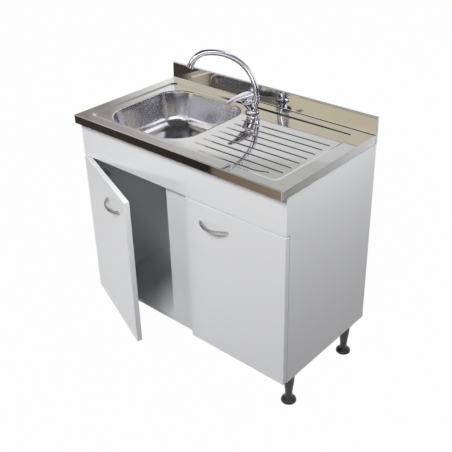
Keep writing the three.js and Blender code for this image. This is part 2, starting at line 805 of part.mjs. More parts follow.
function buildTapHead(tap) {
  // In this group Z runs up the leaning axis from the lever's pivot, and -Y is its front
  const head = new THREE.Group();
  head.position.copy(leverPivot);
  head.rotation.x = lean;
  tap.add(head);
  const face = -pivotRise;
  const cartridgeTop = face + 4;
  const guideFoot = cartridgeTop - 10;
  piece('mixer_cartridge', revolve([
    [0, face - cartridgeDepth], [cartridgeRadius, face - cartridgeDepth],
    [cartridgeRadius, cartridgeTop], [guideRadius + runningGap, cartridgeTop],
    [guideRadius + runningGap, guideFoot - seatGap], [0, guideFoot - seatGap],
  ], smallSides), whitePlastic, head);

  const nutFoot = Math.sqrt(domeRadius ** 2 - (face + seatGap) ** 2);
  const holeRadius = domeRadius * 0.62;
  const from = THREE.MathUtils.radToDeg(Math.atan2(face + seatGap, nutFoot));
  const to = THREE.MathUtils.radToDeg(Math.acos(holeRadius / domeRadius));
  const nutBore = cartridgeRadius + runningGap;
  const crown = domeRadius * Math.sin(THREE.MathUtils.degToRad(to));
  piece('cartridge_nut', revolve([
    ...arc([0, 0], domeRadius, from, to, 5, (r, h) => [r, h]),
    [holeRadius, crown - 3], [nutBore, crown - 7], [nutBore, face + seatGap],
  ]), chrome, head);

  const slot = block(-stemWidth / 2 - runningGap, stemWidth / 2 + runningGap,
    -stemDepth, stemDepth, guideFoot - 1, 1);
  piece('lever_guide', join(cut(disc(guideRadius, guideFoot, face + 3.5, smallSides), slot),
    disc(guideRadius, guideFoot, guideFoot + 3, smallSides)), brass, head);
  piece('lever_stem', board(-stemWidth / 2, stemWidth / 2, -stemDepth / 2, stemDepth / 2,
    face + 1.5, domeRadius + runningGap + leverShell - 2, 0.4), brass, head);
  piece('lever', leverHandle(), chrome, head);
}

function leverHandle() {
  const outer = domeRadius + runningGap + leverShell;
  const ball = (radius) => revolve([
    [0, -radius], ...arc([0, 0], radius, -75, 75, 8, (r, h) => [r, h]), [0, radius],
  ]);
  const tilt = THREE.MathUtils.degToRad(leverRimTilt);
  const below = turned(block(-60, 60, -60, 60, -60, 0), tilt, 0, 0);
  const pitch = lean + THREE.MathUtils.degToRad(leverPitch);
  const armSides = 12;
  const widths = [34, 36, 31, 24, 18, 13];
  const depths = [20, 17, 12, 8.5, 6.5, 4];
  const places = [0.04, 0.18, 0.36, 0.62, 0.93, 1];
  const arm = loft(places.map((t, i) => {
    const along = leverReach * t;
    const drop = 9 - 7 * Math.sin(Math.PI * t / 2);
    const y = -along * Math.cos(pitch);
    const z = drop + along * Math.sin(pitch);
    const up = new THREE.Vector3(0, Math.sin(pitch), Math.cos(pitch));
    return Array.from({ length: armSides }, (_, k) => {
      const a = 2 * Math.PI * k / armSides;
      const squareness = 0.75;
      const across = Math.sign(Math.cos(a)) * Math.abs(Math.cos(a)) ** squareness * widths[i] / 2;
      const high = Math.sign(Math.sin(a)) * Math.abs(Math.sin(a)) ** squareness * depths[i] / 2;
      return new THREE.Vector3(across, y, z).addScaledVector(up, high);
    });
  }));
  const stemHole = block(-stemWidth / 2 - seatGap, stemWidth / 2 + seatGap,
    -stemDepth / 2 - seatGap, stemDepth / 2 + seatGap, 0, outer - 2 + seatGap);
  return cut(join(cut(ball(outer), below), cut(arm, below)), ball(domeRadius + runningGap), stemHole);
}

function buildSpout(tap) {
  // In this group the spout lies in the XZ plane, its riser on the Z axis
  const spout = new THREE.Group();
  spout.position.y = spoutFromTap;
  spout.rotation.z = THREE.MathUtils.degToRad(spoutHeading);
  tap.add(spout);
  const crown = spoutRise + spoutBigBend;
  const turn = THREE.MathUtils.degToRad(spoutSmallTurn);
  const at = (x, z) => new THREE.Vector3(x, 0, z);
  const ahead = at(Math.cos(turn), -Math.sin(turn));
  const bends = [
    ...arc([spoutBigBend, spoutRise], spoutBigBend, 180, 90, 8, at).slice(0, -1),
    ...arc([spoutBigBend, crown - spoutSmallBend], spoutSmallBend, 90, 90 - spoutSmallTurn, 4, at),
  ];
  const tip = bends.at(-1).clone().addScaledVector(ahead, spoutTip);
  const foot = at(0, spoutBossHeight - spoutSocketDepth + seatGap);
  piece('spout', tube([foot, ...bends, tip], new THREE.Vector3(0, 1, 0), spoutRadius,
    spoutRadius - spoutWall, 12), chrome, spout);
  const aerator = piece('aerator', revolve([
    [spoutRadius - 3, 0], [aeratorRadius - 1, 0], [aeratorRadius, 1], [aeratorRadius, aeratorLength - 1],
    [aeratorRadius - 1, aeratorLength], [spoutRadius - 3, aeratorLength],
  ], smallSides), chrome, spout);
  aerator.position.copy(tip).addScaledVector(ahead, seatGap);
  aerator.rotation.y = Math.PI / 2 + turn;
}

function buildTap() {
  const tap = new THREE.Group();
  tap.position.set(tapX, tapY, trayFloor);
  unit.add(tap);
  piece('tap_gasket', tubeRing(tapBaseRadius - 0.5, tapHoleRadius - 1, 0, tapGasketThickness),
    rubber, tap);
  piece('tap_body', tapBody(), chrome, tap);
  buildTapHead(tap);
  piece('spout_collar', moved(tubeRing(spoutBossRadius, spoutRadius + runningGap, spoutBossHeight,
    spoutBossHeight + spoutCollarHeight), 0, spoutFromTap, 0), chrome, tap);
  buildSpout(tap);

  const under = -sheet;
  piece('tap_shank', tubeRing(shankRadius, shankRadius - shankWall, tapGasketThickness - shankLength,
    tapGasketThickness, smallSides), brass, tap);
  const notch = block(-shankRadius - seatGap, shankRadius + seatGap, 0, clampRadius + 5,
    under - clampThickness - 1, under + 1);
  piece('clamp_plate', cut(tubeRing(clampRadius, shankRadius + seatGap, under - clampThickness, under),
    notch), satinSteel, tap);
  const nutTop = under - clampThickness;
  piece('tap_backnut', hexagon(backnutFlats, nutTop - backnutHeight, nutTop, shankRadius + seatGap),
    brass, tap);
  buildInletTail('hot_inlet', -1, tap);
  buildInletTail('cold_inlet', 1, tap);
}

function buildInletTail(name, side, tap) {
  const top = tapGasketThickness;
  const shankFoot = top - shankLength;
  const foot = top - tailLength;
  const at = (x, z) => new THREE.Vector3(side * x, 0, z);
  const near = tailRadius + runningGap;
  const middle = (near + tailSpread) / 2;
  const tail = tube([
    at(near, top), at(near, shankFoot), at(middle, shankFoot - 18),
    at(tailSpread, shankFoot - 36), at(tailSpread, foot),
  ], new THREE.Vector3(0, 1, 0), tailRadius, tailRadius - tailWall, pipeSides);
  const nut = hexagon(tailNutFlats, foot, foot + tailNutHeight, tailRadius - tailWall / 2);
  piece(name, join(tail, moved(nut, side * tailSpread, 0, 0)), brass, tap);
}

// ---- Cabinet

function buildCarcass() {
  const depth = [carcassFront, carcassBack];
  const top = deckHeight - sheet;
  piece('side_panel_left', board(carcassLeft, innerLeft, ...depth, legHeight, top), whiteBoard);
  piece('side_panel_right', board(innerRight, carcassRight, ...depth, legHeight, top), whiteBoard);
  piece('base_panel', board(innerLeft, innerRight, ...depth, legHeight, floorTop), whiteBoard);
  piece('front_fascia', board(carcassLeft, carcassRight, carcassFront - frontBoard, carcassFront,
    fasciaBottom, trayUnderside), whiteBoard);
  const middle = unitWidth / 2;
  piece('centre_stile', board(middle - stileWidth / 2, middle + stileWidth / 2, carcassFront,
    carcassFront + panel, floorTop, fasciaBottom + stileLap), whiteBoard);
  const railFoot = trayUnderside - rearRailHeight;
  piece('rear_rail', board(innerLeft, innerRight, carcassBack - panel, carcassBack,
    railFoot, trayUnderside), whiteBoard);
  const backY = carcassBack - backRebate;
  const window = block(bowlX - plumbingCutWidth / 2, bowlX + plumbingCutWidth / 2, backY - backBoard - 5,
    backY + 5, floorTop + plumbingCutFoot, floorTop + plumbingCutFoot + plumbingCutHeight);
  piece('back_panel', cut(block(innerLeft, innerRight, backY - backBoard, backY, floorTop, railFoot),
    window), backBoardWhite);
}

function bowHandle() {
  const half = handleLength / 2;
  const arcRadius = (span, rise) => (span ** 2 + rise ** 2) / (2 * rise);
  const outer = arcRadius(half - handleBevel, handleProjection - handleBevel * 2);
  const innerHalf = half - handleFoot;
  const inner = arcRadius(innerHalf + handleBevel, handleProjection - handleMiddle);
  const shape = new THREE.Shape();
  const sweep = (span, radius) => Math.asin(Math.min(span / radius, 1));
  const outerSweep = sweep(half - handleBevel, outer);
  const innerSweep = sweep(innerHalf + handleBevel, inner);
  const base = -handleBevel;
  const turn = -Math.PI / 2;
  shape.absarc(0, base - handleProjection + handleBevel * 2 + outer, outer,
    turn - outerSweep, turn + outerSweep, false);
  shape.absarc(0, base - handleProjection + handleMiddle + inner, inner,
    turn + innerSweep, turn - innerSweep, true);
  const geometry = new THREE.ExtrudeGeometry(shape, {
    depth: handleHeight - handleBevel * 2,
    curveSegments: 9,
    bevelSize: handleBevel,
    bevelThickness: handleBevel,
    bevelSegments: 1,
  });
  geometry.translate(0, 0, -handleHeight / 2 + handleBevel);
  return geometry;
}

// A door lies along +X from its hinge edge when side is 1, and along -X when side is -1
function buildDoor(name, side, hingeX, angle) {
  const door = new THREE.Group();
  door.position.set(hingeX, doorFront, doorFoot);
  door.rotation.z = -side * angle;
  unit.add(door);
  const cupX = side * cupFromEdge;
  const heights = [hingeFromEnd, doorHeight - hingeFromEnd];
  const bores = heights.map((z) => moved(turned(disc(cupRadius + seatGap, frontBoard - cupDepth - seatGap,
    frontBoard + 1, smallSides), -Math.PI / 2, 0, 0), cupX, 0, z));
  const [x0, x1] = side > 0 ? [0, doorWidth] : [-doorWidth, 0];
  piece(`${name}_door`, cut(board(x0, x1, 0, frontBoard, 0, doorHeight), ...bores), whiteBoard, door);

  const handle = piece(`${name}_handle`, bowHandle(), nickel, door);
  handle.position.set(side * (doorWidth - handleFromEdge), 0, doorHeight - handleFromTop);

  const pinY = frontBoard - cupPinFromBack;
  const pinReach = noseRadius - noseWidth / 2 - cupPinRadius - seatGap;
  const pinX = Math.sqrt(pinReach ** 2 - pinY ** 2);
  const pinHalf = Math.sqrt((cupRadius - cupWall / 2) ** 2 - (cupFromEdge - pinX) ** 2);
  ['lower', 'upper'].forEach((level, i) => {
    const plate = board(cupX - cupPlateWidth / 2, cupX + cupPlateWidth / 2, frontBoard,
      frontBoard + cupPlateThickness, -cupPlateLength / 2, cupPlateLength / 2, 0.2);
    const bowed = (radius, from, to) => moved(turned(disc(radius, from, to, smallSides),
      -Math.PI / 2, 0, 0), cupX, 0, 0);
    const cup = bowed(cupRadius, frontBoard - cupDepth, frontBoard + cupPlateThickness / 2);
    const hollow = bowed(cupRadius - cupWall, frontBoard - cupDepth + cupWall, frontBoard + 2);
    const shell = cut(join(plate, cup), hollow);
    const pin = moved(disc(cupPinRadius, -pinHalf, pinHalf, 8), side * pinX, pinY, 0);
    piece(`${name}_${level}_hinge_cup`, moved(join(shell, pin), 0, 0, heights[i]), nickel, door);
  });
}

// The nose keeps to a circle about the hinge line, so the cup's pin runs along it as the door closes
function hingeNose(side) {
  const [from, to] = [noseFrom, noseTo].map(THREE.MathUtils.degToRad);
  const shape = new THREE.Shape();
  shape.absarc(0, 0, noseRadius + noseWidth / 2, from, to, false);
  shape.absarc(0, 0, noseRadius - noseWidth / 2, to, from, true);
  const geometry = new THREE.ExtrudeGeometry(shape, {
    depth: noseHeight,
    curveSegments: 5,
    bevelEnabled: false,
  });
  geometry.translate(0, 0, -noseHeight / 2);
  return geometry.scale(side, 1, 1);
}

// The arm and plate of a concealed hinge, on the inside of a side panel
function buildHingeArm(name, level, side, panelX, hingeX, z) {
  const plateFront = carcassFront + 20;
  const span = (a, b) => [Math.min(a, b), Math.max(a, b)];
  const plate = board(...span(panelX, panelX + side * hingePlateThickness), plateFront,
    plateFront + hingePlateLength, z - hingePlateHeight / 2, z + hingePlateHeight / 2, 0.4);
  const armFoot = panelX + side * hingePlateThickness * 0.5;
  const arm = board(...span(armFoot, armFoot + side * armWidth), carcassFront + 0.5,
    carcassFront + armLength, z - armHeight / 2, z + armHeight / 2, 1);
  const nose = moved(hingeNose(side), hingeX, doorFront, z);
  piece(`${name}_${level}_hinge_arm`, join(plate, arm, nose), nickel);
}

function buildDoors() {
  const leftHinge = doorSideGap;
  const rightHinge = unitWidth - doorSideGap;
  buildDoor('left', 1, leftHinge, leftDoorAngle);
  buildDoor('right', -1, rightHinge, 0);
  const levels = { lower: doorFoot + hingeFromEnd, upper: doorTop - hingeFromEnd };
  for (const [level, z] of Object.entries(levels)) {
    buildHingeArm('left', level, 1, innerLeft, leftHinge, z);
    buildHingeArm('right', level, -1, innerRight, rightHinge, z);
  }
}

function buildLeg(name, x, y) {
  const leg = new THREE.Group();
  leg.position.set(x, y, 0);
  unit.add(leg);
  const socketFoot = legHeight - socketHeight;
  piece(`${name}_leg_socket`, revolve([
    [0, socketFoot], [legTopRadius + 1.5, socketFoot],
    [legTopRadius + 2.5, legHeight - socketPlateThickness],
    [socketPlateRadius, legHeight - socketPlateThickness], [socketPlateRadius, legHeight],
    [0, legHeight],
  ], legSides), blackPlastic, leg);
  const foot = padHeight + seatGap;
  const boreTop = padHeight + padStemLength + seatGap * 2;
  piece(`${name}_leg`, revolve([
    [0, boreTop], [padStemRadius + seatGap, boreTop], [padStemRadius + seatGap, foot],
    [legNeckRadius, foot], [legNeckRadius + 0.6, foot + 14], [legNeckRadius + 3, foot + 38],
    [legTopRadius - 1, foot + 66], [legTopRadius, socketFoot],
    [0, socketFoot],
  ], legSides), blackPlastic, leg);
  piece(`${name}_foot`, revolve([
    [0, 0], [padRadius - 1, 0], [padRadius, 3], [padRadius - 2.5, 9],
    [padRadius - 7.5, 13.5], [legNeckRadius + 1, padHeight - 6],
    [legNeckRadius - 0.5, padHeight], [padStemRadius, padHeight],
    [padStemRadius, padHeight + padStemLength], [0, padHeight + padStemLength],
  ], legSides), blackPlastic, leg);
}

function buildLegs() {
  const front = carcassFront + legFromFront;
  const back = carcassBack - legFromBack;
  buildLeg('front_left', legFromSide, front);
  buildLeg('front_right', unitWidth - legFromSide, front);
  buildLeg('rear_left', legFromSide, back);
  buildLeg('rear_right', unitWidth - legFromSide, back);
}

buildSinkTop();
buildWaste();
buildTap();
buildCarcass();
buildDoors();
buildLegs();

// The origin is on the floor, at the middle of the plan that the unit covers with its door ajar
unit.position.set(-unitWidth / 2, -(openDoorReach + unitDepth) / 2, 0);

export default unit;
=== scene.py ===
import json
import math

import bmesh
import bpy
from mathutils import Matrix, Vector
from mathutils.geometry import delaunay_2d_cdt


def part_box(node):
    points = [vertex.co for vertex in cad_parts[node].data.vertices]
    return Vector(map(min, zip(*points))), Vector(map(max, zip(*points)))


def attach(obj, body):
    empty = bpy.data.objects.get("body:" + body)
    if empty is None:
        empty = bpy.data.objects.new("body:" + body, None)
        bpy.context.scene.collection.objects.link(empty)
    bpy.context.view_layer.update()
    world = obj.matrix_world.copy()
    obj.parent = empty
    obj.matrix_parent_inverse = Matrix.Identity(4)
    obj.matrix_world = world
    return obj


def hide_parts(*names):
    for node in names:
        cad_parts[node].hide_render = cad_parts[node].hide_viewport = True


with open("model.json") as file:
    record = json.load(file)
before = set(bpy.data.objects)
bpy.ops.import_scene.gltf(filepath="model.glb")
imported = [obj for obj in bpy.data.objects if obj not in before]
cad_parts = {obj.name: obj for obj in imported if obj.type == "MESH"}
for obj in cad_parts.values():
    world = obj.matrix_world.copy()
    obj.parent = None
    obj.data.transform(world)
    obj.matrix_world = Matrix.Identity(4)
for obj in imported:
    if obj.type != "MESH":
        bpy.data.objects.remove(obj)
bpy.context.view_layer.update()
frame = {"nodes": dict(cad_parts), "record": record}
print("frame loaded:", len(frame["nodes"]), "nodes")

# Sizes below are in millimetres, measured from the sink top's front left corner and from the floor
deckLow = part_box("sink_deck")[0]
corner = Vector((deckLow[0], deckLow[1], 0))
mm = 0.001


def spot(x, y, z):
    return corner + Vector((x, y, z)) * mm


# Camera

camera = {
    "place": (1993.42, -1452.70, 1819.73),
    "azimuth": 41.8461,
    "elevation": 28.7504,
    "roll": -1.4006,
    "focalPixels": 750.22,
    "framePixels": 452,
    "axisAbove": 25,  # the optical axis is this many pixels above the frame's middle
}


def makeCamera():
    data = bpy.data.cameras.new("camera")
    data.sensor_width = 36
    data.lens = 36 * camera["focalPixels"] / camera["framePixels"]
    data.shift_y = -camera["axisAbove"] / camera["framePixels"]
    data.clip_end = 50
    eye = bpy.data.objects.new("camera", data)
    bpy.context.collection.objects.link(eye)
    azimuth = math.radians(camera["azimuth"])
    elevation = math.radians(camera["elevation"])
    turn = Matrix.Rotation(azimuth, 4, "Z") @ Matrix.Rotation(math.pi / 2 - elevation, 4, "X")
    turn = turn @ Matrix.Rotation(math.radians(camera["roll"]), 4, "Z")
    eye.matrix_world = Matrix.Translation(spot(*camera["place"])) @ turn
    bpy.context.scene.camera = eye


makeCamera()
bpy.context.scene.view_settings.view_transform = "Standard"


# Node helpers

def addNode(tree, kind, inputs=None, **settings):
    node = tree.nodes.new(kind)
    for key, value in settings.items():
        setattr(node, key, value)
    for key, value in (inputs or {}).items():
        socket = node.inputs[key]
        if isinstance(value, bpy.types.NodeSocket):
            tree.links.new(value, socket)
        else:
            socket.default_value = value
    return node


def newMaterial(name, color, metallic, roughness):
    material = bpy.data.materials.new(name)
    material.use_nodes = True
    tree = material.node_tree
    shader = tree.nodes["Principled BSDF"]
    shader.inputs["Base Color"].default_value = (*color, 1)
    shader.inputs["Metallic"].default_value = metallic
    shader.inputs["Roughness"].default_value = roughness
    return material, tree, shader


def noise(tree, scale, detail=3.0, stretch=(1, 1, 1)):
    place = addNode(tree, "ShaderNodeTexCoord").outputs["Object"]
    place = addNode(tree, "ShaderNodeMapping", {"Vector": place, "Scale": stretch}).outputs[0]
    return addNode(tree, "ShaderNodeTexNoise", {
        "Vector": place, "Scale": scale, "Detail": detail,
    }).outputs["Fac"]


def spread(tree, value, low, high):  # noise mostly keeps to 0.3..0.7
    return addNode(tree, "ShaderNodeMapRange", {
        "Value": value, "From Min": 0.3, "From Max": 0.7, "To Min": low, "To Max": high,
    }).outputs["Result"]


def blended(tree, factor, first, second):
    node = addNode(tree, "ShaderNodeMix", data_type="RGBA")
    tree.links.new(factor, node.inputs["Factor"])
    firstColor, secondColor, result = 6, 7, 2  # the Mix node's places for colours
    for index, value in ((firstColor, first), (secondColor, second)):
        if isinstance(value, bpy.types.NodeSocket):
            tree.links.new(value, node.inputs[index])
        else:
            node.inputs[index].default_value = (*value, 1)
    return node.outputs[result]


def bump(tree, shader, height, strength, distance):
    node = addNode(tree, "ShaderNodeBump", {
        "Height": height, "Strength": strength, "Distance": distance,
    })
    tree.links.new(node.outputs["Normal"], shader.inputs["Normal"])


# Materials

def polishedSteel():
    material, tree, shader = newMaterial("polishedSteel", (0.62, 0.615, 0.6), 1, 0.06)
    smear = noise(tree, 11, 4)
    grain = noise(tree, 350, 2, (0.03, 1, 1))
    tree.links.new(spread(tree, smear, 0.035, 0.075), shader.inputs["Roughness"])
    color = blended(tree, smear, (0.60, 0.595, 0.58), (0.65, 0.645, 0.63))
    tree.links.new(color, shader.inputs["Base Color"])
    bump(tree, shader, grain, 0.04, 0.0001)
    return material


def drawnSteel():  # the bowl's wiped satin, which blurs what it shows
    material, tree, shader = newMaterial("drawnSteel", (0.6, 0.595, 0.61), 1, 0.2)
    wipe = noise(tree, 9, 3)
    grain = noise(tree, 500, 2, (1, 1, 0.06))
    tree.links.new(spread(tree, wipe, 0.18, 0.22), shader.inputs["Roughness"])
    bump(tree, shader, grain, 0.02, 0.0001)
    return material


def satinSteel():
    material, tree, shader = newMaterial("satinSteel", (0.58, 0.58, 0.59), 1, 0.26)
    wipe = noise(tree, 14, 3)
    grain = noise(tree, 420, 2, (1, 1, 0.05))
    tree.links.new(spread(tree, wipe, 0.22, 0.3), shader.inputs["Roughness"])
    bump(tree, shader, grain, 0.08, 0.0002)
    return material


def chromePlate():
    material, tree, shader = newMaterial("chromePlate", (0.8, 0.785, 0.85), 1, 0.03)
    tree.links.new(spread(tree, noise(tree, 30), 0.02, 0.05), shader.inputs["Roughness"])
    return material


def satinNickel():
    material, tree, shader = newMaterial("satinNickel", (0.5, 0.5, 0.49), 1, 0.28)
    brushed = noise(tree, 500, 2, (0.05, 1, 1))
    tree.links.new(spread(tree, brushed, 0.2, 0.34), shader.inputs["Roughness"])
    return material


def machinedBrass():
    material, tree, shader = newMaterial("machinedBrass", (0.62, 0.46, 0.2), 1, 0.35)
    turned = noise(tree, 300, 2, (1, 1, 6))
    tree.links.new(spread(tree, turned, 0.26, 0.44), shader.inputs["Roughness"])
    color = blended(tree, noise(tree, 60), (0.52, 0.37, 0.15), (0.68, 0.52, 0.25))
    tree.links.new(color, shader.inputs["Base Color"])
    return material


def whiteLaminate():
    material, tree, shader = newMaterial("whiteLaminate", (0.78, 0.785, 0.8), 0, 0.34)
    pores = noise(tree, 900, 2)
    broad = noise(tree, 3, 2)
    color = blended(tree, broad, (0.765, 0.77, 0.785), (0.795, 0.8, 0.81))
    tree.links.new(color, shader.inputs["Base Color"])
    tree.links.new(spread(tree, pores, 0.28, 0.4), shader.inputs["Roughness"])
    bump(tree, shader, pores, 0.06, 0.0002)
    return material


def paintedFibreboard():
    material, tree, shader = newMaterial("paintedFibreboard", (0.66, 0.67, 0.66), 0, 0.6)
    fibre = noise(tree, 500, 4)
    color = blended(tree, fibre, (0.62, 0.63, 0.62), (0.70, 0.71, 0.70))
    tree.links.new(color, shader.inputs["Base Color"])
    bump(tree, shader, fibre, 0.2, 0.0003)
    return material


def mouldedPlastic(name, color, roughness):
    material, tree, shader = newMaterial(name, color, 0, roughness)
    texture = noise(tree, 700, 3)
    tree.links.new(spread(tree, texture, roughness - 0.06, roughness + 0.08), shader.inputs["Roughness"])
    bump(tree, shader, texture, 0.15, 0.0002)
    return material


finishes = {
    "steel": polishedSteel(),
    "drawn_steel": drawnSteel(),
    "satin_steel": satinSteel(),
    "chrome": chromePlate(),
    "nickel": satinNickel(),
    "brass": machinedBrass(),
    "rubber": mouldedPlastic("blackRubber", (0.025, 0.025, 0.025), 0.7),
    "white_plastic": mouldedPlastic("whitePlastic", (0.78, 0.78, 0.77), 0.4),
    "black_plastic": mouldedPlastic("blackPlastic", (0.018, 0.018, 0.017), 0.38),
    "white_board": whiteLaminate(),
    "back_board": paintedFibreboard(),
}
slotOfNode = {part["node"]: part["material_slot"] for part in frame["record"]["subparts"]}
bodies = frame["record"]["behaviour"]["bodies"]
bodyOfNode = {node: body for body, nodes in bodies.items() for node in nodes}
shading = {"merge": 0.00002, "sharp": 38}  # metres and degrees


def softShading():  # smooth shading for the turned CAD nodes, with edges over the angle left sharp
    tree = bpy.data.node_groups.new("softShading", "GeometryNodeTree")
    tree.interface.new_socket("Geometry", in_out="INPUT", socket_type="NodeSocketGeometry")
    tree.interface.new_socket("Geometry", in_out="OUTPUT", socket_type="NodeSocketGeometry")
    start = tree.nodes.new("NodeGroupInput")
    end = tree.nodes.new("NodeGroupOutput")
    merged = addNode(tree, "GeometryNodeMergeByDistance", {
        "Geometry": start.outputs[0], "Distance": shading["merge"],
    }).outputs[0]
    smooth = addNode(tree, "GeometryNodeSetShadeSmooth", {
        "Geometry": merged, "Shade Smooth": True,
    }).outputs[0]
    bend = addNode(tree, "GeometryNodeInputMeshEdgeAngle").outputs["Unsigned Angle"]
    sharp = addNode(tree, "FunctionNodeCompare", {
        "A": bend, "B": math.radians(shading["sharp"]),
    }).outputs["Result"]
    edged = addNode(tree, "GeometryNodeSetShadeSmooth", {
        "Geometry": smooth, "Selection": sharp, "Shade Smooth": False,
    }, domain="EDGE").outputs[0]
    tree.links.new(edged, end.inputs[0])
    return tree


def finishNodes():
    smoother = softShading()
    for name, node in frame["nodes"].items():
        node.data.materials.clear()
        node.data.materials.append(finishes[slotOfNode[name]])
        if slotOfNode[name] not in ("white_board", "back_board"):
            node.modifiers.new("softShading", "NODES").node_group = smoother


finishNodes()
print("materials made")


# Shape tools: every shape is (points, faces), in the millimetres of spot()

def circle(radius, height, sides=72):
    turns = [2 * math.pi * i / sides for i in range(sides)]
    return [Vector((radius * math.cos(a), radius * math.sin(a), height)) for a in turns]


def arc(middle, radius, start, end, steps):  # angles in degrees, as pairs
    angles = [math.radians(start + (end - start) * i / steps) for i in range(steps + 1)]
    return [(middle[0] + radius * math.cos(a), middle[1] + radius * math.sin(a)) for a in angles]


def loft(loops, closed=False):  # closed joins the last loop to the first
    count = len(loops[0])
    points = [Vector(p) for loop in loops for p in loop]
    faces = []
    for row in range(len(loops) if closed else len(loops) - 1):
        ahead = (row + 1) % len(loops)
        for i in range(count):
            j = (i + 1) % count
            faces.append((row * count + i, row * count + j, ahead * count + j, ahead * count + i))
    if not closed:
        faces.append(tuple(reversed(range(count))))
        faces.append(tuple(range(len(points) - count, len(points))))
    return points, faces


def revolve(profile, sides=72):  # radius and height; a profile that starts off the axis is a closed ring
    loops = [circle(radius, height, sides) for radius, height in profile]
    return loft(loops, closed=profile[0][0] > 0)


def carried(shape, matrix):
    return [matrix @ p for p in shape[0]], shape[1]


def moved(shape, x, y):
    return carried(shape, Matrix.Translation((x, y, 0)))


def squared(value, power):  # draws a sine or cosine out towards a rounded square
    return math.copysign(abs(value) ** power, value)


# A rounded rectangle as pairs, anticlockwise. Its right back corner comes first and may be tighter
def rounded(rect, inset, radius, steps, sideSteps, tighter=0):
    x0, x1, y0, y1 = rect
    sizes = [radius - tighter, radius, radius, radius]
    turns = ((x1, y1, -1, -1), (x0, y1, 1, -1), (x0, y0, 1, 1), (x1, y0, -1, 1))
    corners = []
    for i, (x, y, turnX, turnY) in enumerate(turns):
        middle = (x + turnX * (inset + sizes[i]), y + turnY * (inset + sizes[i]))
        corners.append(arc(middle, sizes[i], 90 * i, 90 * i + 90, steps))
    loop = []
    for i, points in enumerate(corners):
        (ax, ay), (bx, by) = points[-1], corners[(i + 1) % 4][0]
        loop += points
        loop += [(ax + (bx - ax) * k / sideSteps, ay + (by - ay) * k / sideSteps)
                 for k in range(1, sideSteps)]
    return loop


def barLoops(path, normal, radii, sides=48):  # round loops along a path that lies square to the normal
    loops = []
    for i, point in enumerate(path):
        ahead = path[min(i + 1, len(path) - 1)] - path[max(i - 1, 0)]
        across = ahead.cross(normal).normalized()
        loops.append([point + radii[i] * (across * math.cos(a) + normal * math.sin(a))
                      for a in (2 * math.pi * k / sides for k in range(sides))])
    return loops


def pipe(path, normal, outer, inner):
    return loft(barLoops(path, normal, outer) + barLoops(path, normal, inner)[::-1], closed=True)


def box(x0, x1, y0, y1, z0, z1):
    corners = [(x0, y0), (x1, y0), (x1, y1), (x0, y1)]
    return loft([[(x, y, z0) for x, y in corners], [(x, y, z1) for x, y in corners]])


def settle(piece):  # the modifiers become part of the mesh
    done = piece.evaluated_get(bpy.context.evaluated_depsgraph_get())
    data = bpy.data.meshes.new_from_object(done)
    piece.modifiers.clear()
    piece.data = data


weldDistance, sliverLength = 0.000005, 0.000001  # metres


def makePiece(name, shapes, nodes, sharp=40, sheet=None, outward=True, cast=None, rounding=None,
              finish=None):
    mesh = bmesh.new()
    for points, faces in shapes:
        made = [mesh.verts.new(spot(*p)) for p in points]
        for face in faces:
            mesh.faces.new([made[i] for i in face])
    bmesh.ops.remove_doubles(mesh, verts=mesh.verts, dist=weldDistance)
    bmesh.ops.dissolve_degenerate(mesh, edges=mesh.edges, dist=sliverLength)
    if outward:
        bmesh.ops.recalc_face_normals(mesh, faces=mesh.faces)
    data = bpy.data.meshes.new(name)
    mesh.to_mesh(data)
    mesh.free()
    data.materials.append(finishes[finish or slotOfNode[nodes[0]]])
    piece = bpy.data.objects.new(name, data)
    bpy.context.collection.objects.link(piece)
    if sheet:  # sheet metal: the shape is its face, and the thickness goes behind it
        thick = piece.modifiers.new("sheet", "SOLIDIFY")
        thick.thickness, thick.offset, thick.use_even_offset = sheet * mm, -1, True
    if rounding:
        bevel = piece.modifiers.new("rounding", "BEVEL")
        bevel.width, bevel.segments, bevel.limit_method = rounding * mm, 3, "ANGLE"
    if cast:  # joined shapes melt together, as a casting's do: grid size and rounds of smoothing
        grid = piece.modifiers.new("cast", "REMESH")
        grid.mode, grid.voxel_size = "VOXEL", cast[0] * mm
        soft = piece.modifiers.new("polish", "SMOOTH")
        soft.factor, soft.iterations = 0.5, cast[1]
    if piece.modifiers:
        settle(piece)
    piece.data.shade_smooth()
    piece.data.set_sharp_from_angle(angle=math.radians(sharp))
    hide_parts(*nodes)
    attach(piece, bodyOfNode[nodes[0]])


# Sink top

top = {
    "width": 900, "depth": 500, "height": 850, "skirt": 30, "sheet": 1, "hem": 9,
    "corner": 3, "roll": 2,
    "tray": (40, 852, 37, 447), "trayCorner": 22, "traySlope": 9, "trayDepth": 4,
    "upstand": 60, "upstandFoot": 487, "upstandLean": 2.2, "upstandFillet": 3,
    "upstandRound": 2.5,
    "bowl": (78, 443, 53, 417), "bowlCorner": 100, "bowlTighter": 18, "bowlEdge": 2.4,
    "drainerRise": 3, "riseFrom": 450, "riseOver": 400,
    "tapHole": (464, 401), "tapHoleRadius": 17.5,
}
ridges = {
    "count": 7, "pitch": 38, "left": 484, "right": 828, "front": 60,
    "fan": 1.4, "fanMiddle": 2,  # how much each runs askew, and the one that doesn't
    "setback": 48, "straight": 208, "curlRadius": 115, "curl": 28,  # the curled one in front
    "offsets": (5.2, 4.4, 3.8, 3.1, 2.4, 1.6, 0.8),
    "heights": (0, 0, 0.15, 0.55, 1, 1.35, 1.52), "height": 1.6,
}
trayFloor = top["height"] - top["trayDepth"]
bowlMiddle = ((top["bowl"][0] + top["bowl"][1]) / 2, (top["bowl"][2] + top["bowl"][3]) / 2)
traySteps, bowlSteps = (10, 12), (24, 8)  # steps in a corner and along a side


def floorAt(x):  # the drainer rises to the right, so that it drains into the bowl
    share = min(max((x - top["riseFrom"]) / top["riseOver"], 0), 1)
    return trayFloor + top["drainerRise"] * share * share * (3 - 2 * share)


